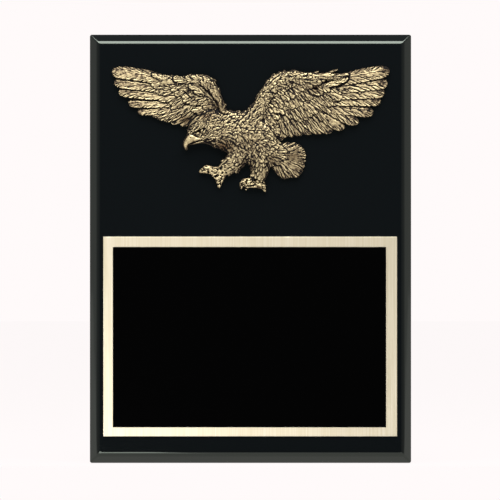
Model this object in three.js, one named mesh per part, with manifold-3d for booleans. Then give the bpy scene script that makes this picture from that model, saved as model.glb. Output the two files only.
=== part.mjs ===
// Eagle wall plaque: a black lacquered board with an antique gold eagle casting, a brushed brass back plate
// and a gloss black engraving plate.
// Millimetres. The plaque hangs upright in the XZ plane: +Z is up and the front looks towards -Y.
// The origin is the middle of the board's flat back, which lies on the wall.
// Each piece is drawn face up, with x to the right, y up the plaque and z out of its face, and is then
// stood up.

import * as THREE from 'three';
import { mergeVertices } from 'three/addons/utils/BufferGeometryUtils.js';
import Module from 'manifold-3d';

const wasm = await Module();
wasm.setup();

// Driving dimensions of the board: a 9 by 12 inch plaque, 5/8 inch thick
const BOARD = {
  width: 228.6,
  height: 304.8,
  thickness: 15.875,
  bevelWidth: 8,
  shoulderRadius: 5,
  edgeRadius: 1.2,
  cornerRadius: 1.5,
};
// The keyhole slot in the back that a screw head enters and then rises in
const KEYHOLE = {
  middleBelowTop: 46,
  travel: 14,
  headWidth: 9.5,
  slotWidth: 5,
  lip: 3,
  depth: 9.5,
};
// A cutter runs this far past the face that it opens
const OVERLENGTH = 1;
// The two plates, with their middles measured from the middle of the board
const BRASS_PLATE = { width: 208.6, height: 141.8, thickness: 0.75, x: -0.25, y: -62.25 };
const ENGRAVING_PLATE = { width: 194, height: 128, thickness: 0.5, x: -0.75, y: -62.75 };
// The hair of rounding along a plate's front edges
const PLATE_ROUNDING = 0.15;
// The eagle's reference point, on its breast, is this far above the middle of the board
const EAGLE_RISE = 86;
// The casting's flat back keeps the thickness of its glue film from the board
const GLUE_FILM = 0.25;
// Feathers and limbs are drawn through the casting's back and trimmed flat there
const BELOW_BACK = 1;
// The thinnest metal at the casting's outline
const RIM = 0.9;

// Feather rows. Roots and tips are the points that two curves pass through, in millimetres from the eagle's
// reference point; count feathers are spread evenly between their ends. halfWidth and bow go from the first
// feather to the last, and lift is the height of the metal at a feather's root and at its tip.
// shingle is how much higher one long edge of a feather lies than the other.
const ROWS = [
  // The near wing, on the right: flight feathers, then the coverts above them, lowest layer first
  {
    count: 5,
    roots: [[54, 29], [51, 25], [48, 20], [44.5, 14]],
    tips: [[98.7, 40.5], [97.2, 31.6], [95, 25], [92.3, 19.1], [87, 10.6]],
    halfWidth: [4.3, 3.9],
    bow: [0.2, 1.4],
    lift: [2.4, 1.9],
    shingle: 0.5,
  },
  {
    count: 8,
    roots: [[48.5, 18.5], [37.5, 12.5], [29.5, 8.5], [21.5, 6.5], [14, 3]],
    tips: [
      [76.8, 2.8], [65.4, -1.5], [55.5, -3.3], [47.7, -3.8],
      [39.5, -4.9], [31.9, -5.8], [26, -6.8], [22.6, -9.2],
    ],
    halfWidth: [4.3, 3],
    bow: [-0.6, -0.6],
    lift: [2.8, 2.1],
    shingle: 0.5,
  },
  {
    count: 8,
    roots: [[48, 31], [41.5, 26.5], [37.5, 21.5], [31, 17], [22.5, 13.5], [14, 9]],
    tips: [[67, 24], [62, 19], [57.5, 13.2], [53.5, 10.2], [43.5, 8.3], [35.8, 6], [25.3, 4.2], [19, 1.5]],
    halfWidth: [3.3, 2.5],
    bow: [-0.3, -0.3],
    lift: [3.7, 3.2],
    shingle: 0.4,
  },
  {
    count: 8,
    roots: [[38, 32.5], [33, 28.5], [28, 25], [20, 19], [9, 11]],
    tips: [[53, 25.5], [43, 22.7], [39, 18.5], [33, 15.5], [26, 11], [17, 5]],
    halfWidth: [2.9, 2.4],
    bow: [-0.2, -0.2],
    lift: [4.5, 4],
    shingle: 0.3,
  },
  {
    count: 7,
    roots: [[31, 34], [26, 31], [21, 27.5], [15.5, 22.5], [8, 14]],
    tips: [[39.5, 28.5], [34, 25.5], [28, 22], [22, 17.5], [14, 9.5]],
    halfWidth: [2.5, 2.2],
    bow: [0, 0],
    lift: [5.2, 4.6],
    shingle: 0.3,
  },
  // Its long front coverts and the broad round one over the hollow
  {
    count: 2,
    roots: [[48, 36], [37.5, 36.5]],
    tips: [[72, 37.6], [57.3, 34.4]],
    halfWidth: [2.1, 2.5],
    bow: [0.4, 0.2],
    lift: [4, 3.6],
    shingle: 0.3,
  },
  {
    count: 2,
    roots: [[48, 29.3], [32.5, 34.8]],
    tips: [[69.7, 35.1], [50.5, 31]],
    halfWidth: [2.3, 3],
    bow: [-0.8, 0.4],
    lift: [4.8, 4.3],
    shingle: 0.3,
  },
  // Two thin plumes that stand off the front edge
  {
    count: 2,
    roots: [[39, 37], [50, 37]],
    tips: [[48.5, 39.8], [62, 41.2]],
    halfWidth: [0.7, 0.7],
    bow: [-0.3, 0],
    lift: [3, 2.2],
    shingle: 0,
  },
  // The far wing, on the left
  {
    count: 5,
    roots: [[-56, 32.5], [-56, 26.5], [-56, 21.5], [-56.5, 17], [-47.5, 15]],
    tips: [[-98.2, 39.8], [-96.5, 32.4], [-93.5, 25.5], [-86.7, 17.7], [-79.9, 11.1]],
    halfWidth: [4.3, 3.3],
    bow: [-1, 0.4],
    lift: [2.4, 1.9],
    shingle: -0.5,
  },
  {
    count: 4,
    roots: [[-46, 15.5], [-43, 15], [-40, 13.5], [-36, 12.5]],
    tips: [[-68.3, 8.1], [-63.7, 6], [-58.5, 4], [-49.3, 1.4]],
    halfWidth: [3.1, 2.6],
    bow: [0.4, 0.2],
    lift: [2.8, 2.1],
    shingle: -0.5,
  },
  {
    count: 5,
    roots: [[-50, 32], [-46, 27.5], [-41.5, 23.5], [-35, 19]],
    tips: [[-73, 33.5], [-68.7, 29], [-66.2, 23.4], [-59.4, 16.6], [-51.6, 13.4], [-47, 11]],
    halfWidth: [3.6, 2.8],
    bow: [0.3, 0.3],
    lift: [3.7, 3.2],
    shingle: -0.4,
  },
  {
    count: 5,
    roots: [[-38, 31], [-34, 25.5], [-29.5, 19]],
    tips: [[-56, 29], [-51.5, 25], [-47.5, 21.5], [-44, 17], [-39.5, 12.5]],
    halfWidth: [2.9, 2.4],
    bow: [0.2, 0.2],
    lift: [4.5, 4],
    shingle: -0.3,
  },
  {
    count: 4,
    roots: [[-53, 33], [-44.5, 33.5], [-36.5, 33], [-31, 31.5]],
    tips: [[-69, 35.9], [-54.5, 34.8], [-45.5, 35.3], [-38, 34.5]],
    halfWidth: [2.5, 2.9],
    bow: [-0.5, 0],
    lift: [4.6, 4.2],
    shingle: -0.3,
  },
  // The tail: the lower feathers, then the round upper fan
  {
    count: 5,
    roots: [[24, -21.5], [20.5, -22], [16, -21]],
    tips: [[37.6, -30], [34.3, -34.5], [29.3, -34.6], [24.6, -35.6], [20.6, -32]],
    halfWidth: [2.9, 2.4],
    bow: [0, 0],
    lift: [3.6, 2],
    shingle: 0.5,
  },
  {
    count: 6,
    roots: [[19, -17.5], [21, -20], [21.5, -23]],
    tips: [[25.4, -12.8], [30.2, -12.3], [34.9, -13.2], [38.1, -16.1], [39.3, -20], [38.8, -24]],
    halfWidth: [3.2, 3.4],
    bow: [0, 0],
    lift: [4.6, 2.4],
    shingle: -0.3,
  },
];

// Rounded limbs: a curve with the half-width and the height of the metal at evenly spread places along it
const SHAPES = {
  body: {
    path: [
      [-40.5, -3.8], [-35.5, -1.8], [-28.5, -0.5], [-20, -1.5],
      [-10, -4], [-0.5, -8], [9, -15.5], [19, -19.5],
    ],
    halfWidth: [3.6, 8, 11.2, 13.2, 15.2, 17.2, 12.5, 6],
    height: [5.6, 6.6, 7.2, 7.6, 7.9, 7.8, 6.4, 4.6],
  },
  nearArm: {
    path: [[-4, -2], [7, 14.5], [12.5, 25], [18.5, 31.5], [27, 35], [38, 35.3], [52, 34]],
    halfWidth: [9, 5, 5, 5.8, 5, 3.6, 2.4],
    height: [7, 6, 5.6, 5.6, 5.4, 4.8, 3.4],
    facets: 4,
  },
  farArm: {
    path: [[-18, 0], [-21, 13], [-25, 23], [-30.5, 31.5], [-38, 33.5], [-50, 33], [-64, 33]],
    halfWidth: [5.5, 3.6, 4, 4.9, 4, 3, 2.2],
    height: [5.4, 5.2, 5.4, 5.4, 5, 4.4, 3.2],
    facets: 4,
  },
  nearWingWeb: {
    path: [[3, 4], [24, 13], [45, 20], [62, 28]],
    halfWidth: [9, 10, 11, 7],
    height: [1.3, 1.3, 1.3, 1.3],
    facets: 2,
  },
  farWingWeb: {
    path: [[-22, 6], [-34, 18], [-50, 24], [-66, 28]],
    halfWidth: [3, 8.5, 9.5, 6.5],
    height: [1.3, 1.3, 1.3, 1.3],
    facets: 2,
  },
  nearThigh: {
    path: [[4.5, -14], [6.8, -22], [6.6, -29.5], [5.2, -35.5], [4.6, -38.5]],
    halfWidth: [8, 7.6, 6.4, 5, 4],
    height: [7.8, 7, 6, 5, 4.2],
  },
  farThigh: {
    path: [[-3, -14], [-10.5, -23], [-15.5, -27.3], [-20, -30.6]],
    halfWidth: [8.5, 6.9, 5.4, 3.8],
    height: [6.6, 6, 5.2, 4.4],
  },
};

// The bare toes, each with a claw drawn down to a point
const TOES = [
  {
    path: [[-19, -30.2], [-26, -30.7], [-31, -29.6], [-36.2, -31.5]],
    halfWidth: [3.4, 2.7, 2.9, 0.4],
    height: [4.4, 3.6, 3.8, 2],
  },
  {
    path: [[-19.5, -30.5], [-21.8, -36.5], [-22.4, -42.5]],
    halfWidth: [3.6, 2.8, 0.5],
    height: [4.4, 3.8, 2],
  },
  {
    path: [[4, -38.9], [-2.6, -39], [-5.9, -39.8], [-6.7, -43.3]],
    halfWidth: [2.9, 2.7, 1.6, 0.4],
    height: [4.4, 4, 3.4, 2],
  },
  {
    path: [[4, -39.4], [-1.2, -41], [-3.4, -44]],
    halfWidth: [2.8, 1.6, 0.4],
    height: [4.6, 3.8, 2],
    steps: 4,
    facets: 4,
  },
  {
    path: [[2, -39.2], [7.4, -39.8], [10.4, -45.2]],
    halfWidth: [3, 2.5, 0.5],
    height: [4.6, 4.2, 2],
  },
];

// The head's own forms, over the front end of the body
const HEAD = {
  skull: {
    path: [[-43.6, -5], [-39, -2.6], [-33, -0.6], [-26, 0]],
    halfWidth: [3.6, 6.8, 9.6, 11.5],
    height: [6, 7.4, 7.9, 7.4],
    steps: 4,
    facets: 7,
  },
  cheek: {
    path: [[-41, -8], [-36, -7.6], [-30, -6.5], [-23, -6]],
    halfWidth: [2.4, 3.4, 4.6, 5],
    height: [6.2, 7, 7.6, 7],
    steps: 4,
  },
  brow: {
    path: [[-41.5, -3.8], [-37.5, -1], [-30.5, 0]],
    halfWidth: [0.8, 1.1, 0.8],
    height: [7.4, 8.6, 8],
    steps: 4,
    facets: 4,
  },
  beak: {
    path: [[-36.5, -7.3], [-41, -7.4], [-44, -8.4], [-45.5, -11.2], [-45.3, -15.6]],
    halfWidth: [2.8, 3.3, 3, 1.8, 0.3],
    height: [7.4, 7.2, 6.4, 5, 3],
    steps: 8,
  },
  lowerBill: {
    path: [[-31.5, -9.8], [-37, -10], [-42.5, -11]],
    halfWidth: [1.5, 1.2, 0.6],
    height: [5.8, 5.2, 4.4],
    steps: 3,
    facets: 4,
  },
  eye: { x: -34.5, y: -2.6, z: 7.2, radius: 1.1 },
  eyeSocket: { length: 3.4, width: 1.7, depth: 1.8 },
};

// Scale-like small feathers over the limbs. from and to are places along the limb, across is how many lie
// side by side, and spread is how much of the limb's width they cover.
const COATS = [
  {
    limb: 'body',
    from: 0.24,
    to: 0.93,
    rows: 9,
    across: 5,
    spread: 0.86,
    size: { length: 8, halfWidth: 3.5, lift: 0.9 },
  },
  {
    limb: 'nearArm',
    from: 0.24,
    to: 0.76,
    rows: 4,
    across: 2,
    spread: 0.45,
    size: { length: 7.4, halfWidth: 2.9, lift: 0.6 },
  },
  {
    limb: 'farArm',
    from: 0.2,
    to: 0.58,
    rows: 3,
    across: 2,
    spread: 0.45,
    size: { length: 6.6, halfWidth: 2.5, lift: 0.6 },
  },
  {
    limb: 'nearThigh',
    from: 0.15,
    to: 0.82,
    rows: 5,
    across: 3,
    spread: 0.78,
    size: { length: 6.4, halfWidth: 2.7, lift: 0.9 },
  },
  {
    limb: 'farThigh',
    from: 0.15,
    to: 0.82,
    rows: 4,
    across: 3,
    spread: 0.7,
    size: { length: 5.8, halfWidth: 2.5, lift: 0.8 },
  },
];
// How much the small feathers differ: their turn in radians, their length and width as shares and the tilt of
// their edges in millimetres
const VARIETY = { turn: 0.5, length: 0.25, width: 0.2, tilt: 0.15 };
// The length and width of the smallest ones, as a share of the size above
const LEAST_SIZE = 0.9;

// Places along a feather, from root to tip, and how full its outline is at each: a narrow quill end, a broad
// middle and a rounded tip
const FLIGHT_STATIONS = [[0, 0.75], [0.5, 1], [0.85, 0.92], [0.96, 0.55]];
const SCALE_STATIONS = [[0, 0.6], [0.6, 1], [0.9, 0.62]];
// How far the middle rib of a feather stands above its edges
const FLIGHT_RIDGE = 0.55;
const SCALE_RIDGE = 0.4;
// Steps in the curves of the casting and of the board
const LIMB_STEPS = 6;
const LIMB_FACETS = 5;
const BALL_SIDES = 8;
const BALL_RINGS = 5;
const SECTION_SEGMENTS = 4;
const CORNER_SEGMENTS = 2;
const KEYHOLE_SEGMENTS = 5;
const ENTRY_SIDES = 14;

// A closed surface from points and triangles
function surface(points, triangles) {
  const geometry = new THREE.BufferGeometry();
  geometry.setAttribute('position', new THREE.Float32BufferAttribute(points.flat(), 3));
  geometry.setIndex(triangles.flat());
  return geometry;
}

// Three.js geometry to a solid that can be joined and cut
function solid(geometry) {
  const bare = geometry.clone();
  bare.deleteAttribute('normal');
  bare.deleteAttribute('uv');
  const welded = mergeVertices(bare, 1e-4);
  const mesh = new wasm.Mesh({
    numProp: 3,
    vertProperties: new Float32Array(welded.attributes.position.array),
    triVerts: new Uint32Array(welded.index.array),
  });
  return new wasm.Manifold(mesh);
}

// One solid from many, joined in pairs
function joinAll(solids) {
  let layer = solids;
  while (layer.length > 1) {
    const next = [];
    for (let i = 0; i < layer.length; i += 2) {
      next.push(i + 1 < layer.length ? layer[i].add(layer[i + 1]) : layer[i]);
    }
    layer = next;
  }
  return layer[0];
}

// A solid back to three.js geometry, stood up so that its face looks towards -Y
function standUp(shape) {
  const { vertProperties, triVerts } = shape.getMesh();
  const points = [];
  for (let i = 0; i < vertProperties.length; i += 3) {
    points.push(vertProperties[i], -vertProperties[i + 2], vertProperties[i + 1]);
  }
  const geometry = new THREE.BufferGeometry();
  geometry.setAttribute('position', new THREE.Float32BufferAttribute(points, 3));
  geometry.setIndex(Array.from(triVerts));
  geometry.computeVertexNormals();
  return geometry;
}

// A smooth plane curve through given points
function curveThrough(points) {
  return new THREE.SplineCurve(points.map(([x, y]) => new THREE.Vector2(x, y)));
}

// The value at place t, from 0 to 1, in a list of evenly spread values
function blend(values, t) {
  const place = THREE.MathUtils.clamp(t, 0, 1) * (values.length - 1);
  const index = Math.min(Math.floor(place), values.length - 2);
  return THREE.MathUtils.lerp(values[index], values[index + 1], place - index);
}

// A repeatable number between 0 and 1 for the small unevenness of hand work
function unevenness(seed) {
  const wave = Math.sin(seed * 12.9898 + 4.1) * 43758.5453;
  return wave - Math.floor(wave);
}

// A prism-like solid from rings of points that run along it: each ring has the same number of points, and the
// last ring may be one point
function loft(rings) {
  const points = rings.flat();
  const size = rings[0].length;
  const triangles = [];
  for (let i = 1; i < size - 1; i += 1) {
    triangles.push([0, i + 1, i]);
  }
  for (let r = 0; r < rings.length - 1; r += 1) {
    const here = r * size;
    const next = here + size;
    const pointed = rings[r + 1].length === 1;
    for (let i = 0; i < size; i += 1) {
      const j = (i + 1) % size;
      if (pointed) {
        triangles.push([here + i, here + j, next]);
      } else {
        triangles.push([here + i, here + j, next + j], [here + i, next + j, next + i]);
      }
    }
  }
  if (rings[rings.length - 1].length > 1) {
    const last = points.length - size;
    for (let i = 1; i < size - 1; i += 1) {
      triangles.push([last, last + i, last + i + 1]);
    }
  }
  return surface(points, triangles);
}

// A feather: a leaf outline with a raised middle rib, one long edge lying higher than the other, and walls
// that go down through the casting's back
function feather({ root, tip, halfWidth, bow, lift, shingle, ridge, stations }) {
  const along = new THREE.Vector2().subVectors(tip, root);
  const across = new THREE.Vector2(-along.y, along.x).normalize();
  const top = [];
  const bottom = [];
  for (const [place, fullness] of stations) {
    const bowHere = bow * 4 * place * (1 - place);
    const middle = root.clone().addScaledVector(along, place).addScaledVector(across, bowHere);
    const height = THREE.MathUtils.lerp(lift[0], lift[1], place);
    const reach = halfWidth * fullness;
    const left = middle.clone().addScaledVector(across, reach);
    const right = middle.clone().addScaledVector(across, -reach);
    top.push([
      [left.x, left.y, height + shingle],
      [middle.x, middle.y, height + ridge],
      [right.x, right.y, height - shingle],
    ]);
    bottom.push([[left.x, left.y, -BELOW_BACK], [right.x, right.y, -BELOW_BACK]]);
  }
  return solid(closeFeather(top, bottom, [tip.x, tip.y, lift[1]]));
}

// Joins a feather's top and bottom stations and its tip to a closed surface
function closeFeather(top, bottom, end) {
  const points = [...top.flat(), ...bottom.flat(), end, [end[0], end[1], -BELOW_BACK]];
  const floor = top.length * 3;
  const tipTop = floor + bottom.length * 2;
  const tipBottom = tipTop + 1;
  const triangles = [];
  for (let s = 0; s < top.length; s += 1) {
    const a = s * 3;
    const b = floor + s * 2;
    const last = s === top.length - 1;
    const aNext = a + 3;
    const bNext = b + 2;
    if (last) {
      triangles.push([a, a + 1, tipTop], [a + 1, a + 2, tipTop], [b + 1, b, tipBottom]);
      triangles.push([b, a, tipTop], [b, tipTop, tipBottom]);
      triangles.push([a + 2, b + 1, tipTop], [b + 1, tipBottom, tipTop]);
    } else {
      triangles.push([a, a + 1, aNext + 1], [a, aNext + 1, aNext], [a + 1, a + 2, aNext + 2]);
      triangles.push([a + 1, aNext + 2, aNext + 1], [b + 1, b, bNext], [b + 1, bNext, bNext + 1]);
      triangles.push([b, a, aNext], [b, aNext, bNext]);
      triangles.push([a + 2, b + 1, bNext + 1], [a + 2, bNext + 1, aNext + 2]);
    }
  }
  triangles.push([0, floor, 1], [1, floor, floor + 1], [1, floor + 1, 2]);
  return surface(points, triangles);
}

// All the feathers of one row
function featherRow(row) {
  const roots = curveThrough(row.roots);
  const tips = curveThrough(row.tips);
  const feathers = [];
  for (let i = 0; i < row.count; i += 1) {
    const t = i / (row.count - 1);
    feathers.push(feather({
      root: roots.getPoint(t),
      tip: tips.getPoint(t),
      halfWidth: blend(row.halfWidth, t),
      bow: blend(row.bow, t),
      lift: row.lift,
      shingle: row.shingle,
      ridge: FLIGHT_RIDGE,
      stations: FLIGHT_STATIONS,
    }));
  }
  return feathers;
}

// The rounded height of a limb at a sideways place from -1 to 1
function crown(height, side) {
  return RIM + (height - RIM) * Math.sqrt(Math.max(0, 1 - side * side));
}

// A limb: a domed section with a flat back, carried along a curve
function limb({ path, halfWidth, height, steps = LIMB_STEPS, facets = LIMB_FACETS }) {
  const curve = curveThrough(path);
  const rings = [];
  for (let i = 0; i <= steps; i += 1) {
    const t = i / steps;
    const middle = curve.getPoint(t);
    const direction = curve.getTangent(t);
    const across = new THREE.Vector2(-direction.y, direction.x);
    const reach = blend(halfWidth, t);
    const ring = [];
    for (let k = 0; k <= facets; k += 1) {
      const side = Math.cos((Math.PI * k) / facets);
      const point = middle.clone().addScaledVector(across, reach * side);
      ring.push([point.x, point.y, crown(blend(height, t), side)]);
    }
    const left = ring[0];
    const right = ring[facets];
    ring.push([right[0], right[1], -BELOW_BACK], [left[0], left[1], -BELOW_BACK]);
    rings.push(ring);
  }
  return solid(loft(rings));
}

// One small feather of a coat, whose root lies at a height on its limb
function coatFeather(root, direction, middleHeight, size, row, column) {
  const difference = (kind) => unevenness(row * 7 + column + 30 * kind);
  const turned = direction.clone().rotateAround(new THREE.Vector2(), (difference(0) - 0.5) * VARIETY.turn);
  const reach = size.length * (LEAST_SIZE + VARIETY.length * difference(1));
  return feather({
    root,
    tip: root.clone().addScaledVector(turned, reach),
    halfWidth: size.halfWidth * (LEAST_SIZE + VARIETY.width * difference(2)),
    bow: 0,
    lift: [middleHeight - size.lift / 2, middleHeight + size.lift / 2],
    shingle: VARIETY.tilt * (difference(3) - 0.5),
    ridge: SCALE_RIDGE,
    stations: SCALE_STATIONS,
  });
}

// The coat of small feathers over a limb, in staggered rows from its start to its end
function coat({ limb: name, from, to, rows, across, spread, size }) {
  const { path, halfWidth, height } = SHAPES[name];
  const curve = curveThrough(path);
  const feathers = [];
  for (let r = 0; r < rows; r += 1) {
    const t = THREE.MathUtils.lerp(from, to, r / (rows - 1));
    const direction = curve.getTangent(t);
    const sideways = new THREE.Vector2(-direction.y, direction.x);
    const inRow = across - (r % 2);
    const rowSpread = (spread * inRow) / across;
    for (let k = 0; k < inRow; k += 1) {
      const side = inRow === 1 ? 0 : rowSpread * ((2 * k) / (inRow - 1) - 1);
      const root = curve.getPoint(t).addScaledVector(sideways, blend(halfWidth, t) * side);
      feathers.push(coatFeather(root, direction, crown(blend(height, t), side), size, r, k));
    }
  }
  return feathers;
}

// The head: skull, brow, hooked beak and an eye in its socket
function head() {
  const { eye, eyeSocket } = HEAD;
  const skull = limb(HEAD.skull).add(limb(HEAD.cheek));
  const socketShape = new THREE.SphereGeometry(1, BALL_SIDES, BALL_RINGS);
  socketShape.scale(eyeSocket.length, eyeSocket.width, eyeSocket.depth);
  socketShape.translate(eye.x, eye.y, eye.z + eyeSocket.depth / 2);
  const eyeBall = new THREE.SphereGeometry(eye.radius, BALL_SIDES, BALL_RINGS);
  eyeBall.translate(eye.x, eye.y, eye.z);
  return { skull, socket: solid(socketShape), eyeBall: solid(eyeBall) };
}

// The whole casting, trimmed flat at its back
function eagleCasting() {
  const { skull, socket, eyeBall } = head();
  const cores = Object.values(SHAPES).map(limb);
  const coats = COATS.flatMap(coat);
  const rows = ROWS.flatMap(featherRow);
  const toes = TOES.map(limb);
  const feathered = joinAll([...cores, ...coats, ...rows, ...toes, skull]).subtract(socket);
  const bare = [limb(HEAD.beak), limb(HEAD.lowerBill), limb(HEAD.brow), eyeBall];
  const aboveBack = new THREE.BoxGeometry(BOARD.width, BOARD.height, 2 * BOARD.thickness);
  aboveBack.translate(0, 0, BOARD.thickness);
  return joinAll([feathered, ...bare]).intersect(solid(aboveBack));
}

// The board's section: straight sides, a rounded edge, a bevel at 45 degrees and a broad soft shoulder
function boardSection(width) {
  const { thickness, bevelWidth, shoulderRadius, edgeRadius } = BOARD;
  const half = width / 2;
  const eighth = Math.PI / 4;
  const shoulderRun = shoulderRadius * Math.sin(eighth);
  const shoulderDrop = shoulderRadius * (1 - Math.cos(eighth));
  const edgeRun = edgeRadius * (1 - Math.cos(eighth));
  const edgeRise = edgeRadius * Math.sin(eighth);
  const slope = bevelWidth - shoulderRun - edgeRun;
  const sideTop = thickness - shoulderDrop - slope - edgeRise;
  const corner = new THREE.Shape();
  corner.moveTo(-half, 0);
  corner.lineTo(half, 0);
  corner.lineTo(half, sideTop);
  corner.absarc(half - edgeRadius, sideTop, edgeRadius, 0, eighth, false);
  corner.absarc(half - bevelWidth, thickness - shoulderRadius, shoulderRadius, eighth, 2 * eighth, false);
  corner.absarc(bevelWidth - half, thickness - shoulderRadius, shoulderRadius, 2 * eighth, 3 * eighth, false);
  corner.absarc(edgeRadius - half, sideTop, edgeRadius, 3 * eighth, 4 * eighth, false);
  corner.closePath();
  return corner;
}

// A length of the board's section, a little too long, with its face up
function longStock(width, length) {
  const reach = length + 2 * OVERLENGTH;
  const stock = new THREE.ExtrudeGeometry(boardSection(width), {
    depth: reach,
    bevelEnabled: false,
    curveSegments: SECTION_SEGMENTS,
  });
  stock.rotateX(Math.PI / 2);
  stock.translate(0, reach / 2, 0);
  return stock;
}

// The middle of the screw's way in, up the board
function keyholeStart() {
  return BOARD.height / 2 - KEYHOLE.middleBelowTop - KEYHOLE.travel / 2;
}

// A bar with round ends from the screw's way in to the top of its travel, between two depths
function keyholeCut(width, deep, shallow) {
  const radius = width / 2;
  const shape = new THREE.Shape();
  shape.absarc(0, 0, radius, Math.PI, 0, false);
  shape.absarc(0, KEYHOLE.travel, radius, 0, Math.PI, false);
  shape.closePath();
  const cut = new THREE.ExtrudeGeometry(shape, {
    depth: deep - shallow,
    bevelEnabled: false,
    curveSegments: KEYHOLE_SEGMENTS,
  });
  cut.translate(0, keyholeStart(), shallow);
  return solid(cut);
}

// The keyhole: a round way in, a narrow slot above it and a wider channel behind the slot's lips
function keyhole() {
  const { headWidth, slotWidth, lip, depth } = KEYHOLE;
  const radius = headWidth / 2;
  const entry = new THREE.CylinderGeometry(radius, radius, depth + OVERLENGTH, ENTRY_SIDES);
  entry.rotateX(Math.PI / 2);
  entry.translate(0, keyholeStart(), (depth - OVERLENGTH) / 2);
  const channel = keyholeCut(headWidth, depth, lip);
  const slot = keyholeCut(slotWidth, (lip + depth) / 2, -OVERLENGTH);
  return joinAll([solid(entry), channel, slot]);
}

// The board: two crossed lengths of the same section leave mitred bevels on all four sides
function board() {
  const upright = solid(longStock(BOARD.width, BOARD.height));
  const crossing = longStock(BOARD.height, BOARD.width);
  crossing.rotateZ(Math.PI / 2);
  const block = new THREE.ExtrudeGeometry(roundedRectangle(BOARD.width, BOARD.height, BOARD.cornerRadius), {
    depth: BOARD.thickness + 2 * OVERLENGTH,
    bevelEnabled: false,
    curveSegments: CORNER_SEGMENTS,
  });
  block.translate(0, 0, -OVERLENGTH);
  return upright.intersect(solid(crossing)).intersect(solid(block)).subtract(keyhole());
}

// A rectangle about the origin with rounded corners
function roundedRectangle(width, height, radius) {
  const x = width / 2 - radius;
  const y = height / 2 - radius;
  const quarter = Math.PI / 2;
  const shape = new THREE.Shape();
  shape.absarc(x, y, radius, 0, quarter, false);
  shape.absarc(-x, y, radius, quarter, 2 * quarter, false);
  shape.absarc(-x, -y, radius, 2 * quarter, 3 * quarter, false);
  shape.absarc(x, -y, radius, 3 * quarter, 4 * quarter, false);
  shape.closePath();
  return shape;
}

// A sheared metal plate, flat behind and rounded a little along its front edges
function plate({ width, height, thickness }) {
  const shape = new THREE.Shape();
  const x = width / 2 - PLATE_ROUNDING;
  const y = height / 2 - PLATE_ROUNDING;
  shape.moveTo(-x, -y);
  shape.lineTo(x, -y);
  shape.lineTo(x, y);
  shape.lineTo(-x, y);
  shape.closePath();
  const sheet = new THREE.ExtrudeGeometry(shape, {
    depth: thickness - PLATE_ROUNDING,
    bevelThickness: PLATE_ROUNDING,
    bevelSize: PLATE_ROUNDING,
    bevelSegments: 1,
  });
  const aboveBack = new THREE.BoxGeometry(BOARD.width, BOARD.height, 2 * thickness);
  aboveBack.translate(0, 0, thickness);
  return solid(sheet).intersect(solid(aboveBack));
}

const lacquer = new THREE.MeshStandardMaterial({ color: 0x0a1012, roughness: 0.12, metalness: 0 });
const antiqueGold = new THREE.MeshStandardMaterial({ color: 0xb08f5c, roughness: 0.42, metalness: 1 });
const brushedBrass = new THREE.MeshStandardMaterial({ color: 0xe0c68f, roughness: 0.35, metalness: 1 });
const blackPlate = new THREE.MeshStandardMaterial({ color: 0x050505, roughness: 0.15, metalness: 0.3 });

// A named piece with its place in its parent
function piece(name, shape, material, x, y, z) {
  const mesh = new THREE.Mesh(standUp(shape), material);
  mesh.name = name;
  mesh.position.set(x, y, z);
  return mesh;
}

const plaque = new THREE.Group();
plaque.add(piece('board', board(), lacquer, 0, 0, 0));

// What lies on the board's front face
const face = new THREE.Group();
face.position.y = -BOARD.thickness;
face.add(piece('eagle', eagleCasting(), antiqueGold, 0, -GLUE_FILM, EAGLE_RISE));
face.add(piece('brass_plate', plate(BRASS_PLATE), brushedBrass, BRASS_PLATE.x, 0, BRASS_PLATE.y));
plaque.add(face);

// What lies on the brass plate
const onBrass = new THREE.Group();
onBrass.position.y = -BRASS_PLATE.thickness;
const engraving = ENGRAVING_PLATE;
onBrass.add(piece('engraving_plate', plate(engraving), blackPlate, engraving.x, 0, engraving.y));
face.add(onBrass);

export default plaque;
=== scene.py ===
"""Eagle wall plaque: a black lacquered board with an antique gold eagle casting, a brushed brass plate and a
gloss black engraving plate, in a plain white studio.

The board hangs upright in the XZ plane and its front looks towards -Y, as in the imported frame. Blender works
in metres. The pieces are drawn in millimetres, lying face up, and are then stood up where the frame has them.
"""

import sys
import logging
import math
from dataclasses import dataclass, field
from enum import Enum

import bpy
import numpy as np
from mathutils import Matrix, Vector


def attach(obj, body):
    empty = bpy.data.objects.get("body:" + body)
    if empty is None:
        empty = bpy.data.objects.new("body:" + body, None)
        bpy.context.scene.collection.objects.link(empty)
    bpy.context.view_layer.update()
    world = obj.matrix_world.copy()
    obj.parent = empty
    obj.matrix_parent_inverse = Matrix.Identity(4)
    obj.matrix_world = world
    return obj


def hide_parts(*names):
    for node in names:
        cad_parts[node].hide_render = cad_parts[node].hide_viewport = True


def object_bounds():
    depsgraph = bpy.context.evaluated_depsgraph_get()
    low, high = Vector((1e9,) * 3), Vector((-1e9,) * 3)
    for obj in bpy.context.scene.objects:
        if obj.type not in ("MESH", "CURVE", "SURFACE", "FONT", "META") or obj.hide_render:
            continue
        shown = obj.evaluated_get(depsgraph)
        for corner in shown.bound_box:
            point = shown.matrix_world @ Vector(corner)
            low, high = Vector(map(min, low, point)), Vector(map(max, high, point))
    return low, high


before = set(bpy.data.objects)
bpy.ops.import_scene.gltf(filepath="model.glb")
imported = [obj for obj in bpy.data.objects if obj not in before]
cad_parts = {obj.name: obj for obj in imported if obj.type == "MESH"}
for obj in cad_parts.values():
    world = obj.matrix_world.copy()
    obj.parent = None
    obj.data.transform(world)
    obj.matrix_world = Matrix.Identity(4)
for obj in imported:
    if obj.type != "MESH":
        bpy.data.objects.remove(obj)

CAD_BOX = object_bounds()
BODY = "root"
MM = 0.001

Points = tuple[tuple[float, float], ...]
Values = tuple[float, ...]
Window = tuple[slice, slice]
Inputs = dict[str | int, object]
Stops = tuple[tuple[float, str], ...]

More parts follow.
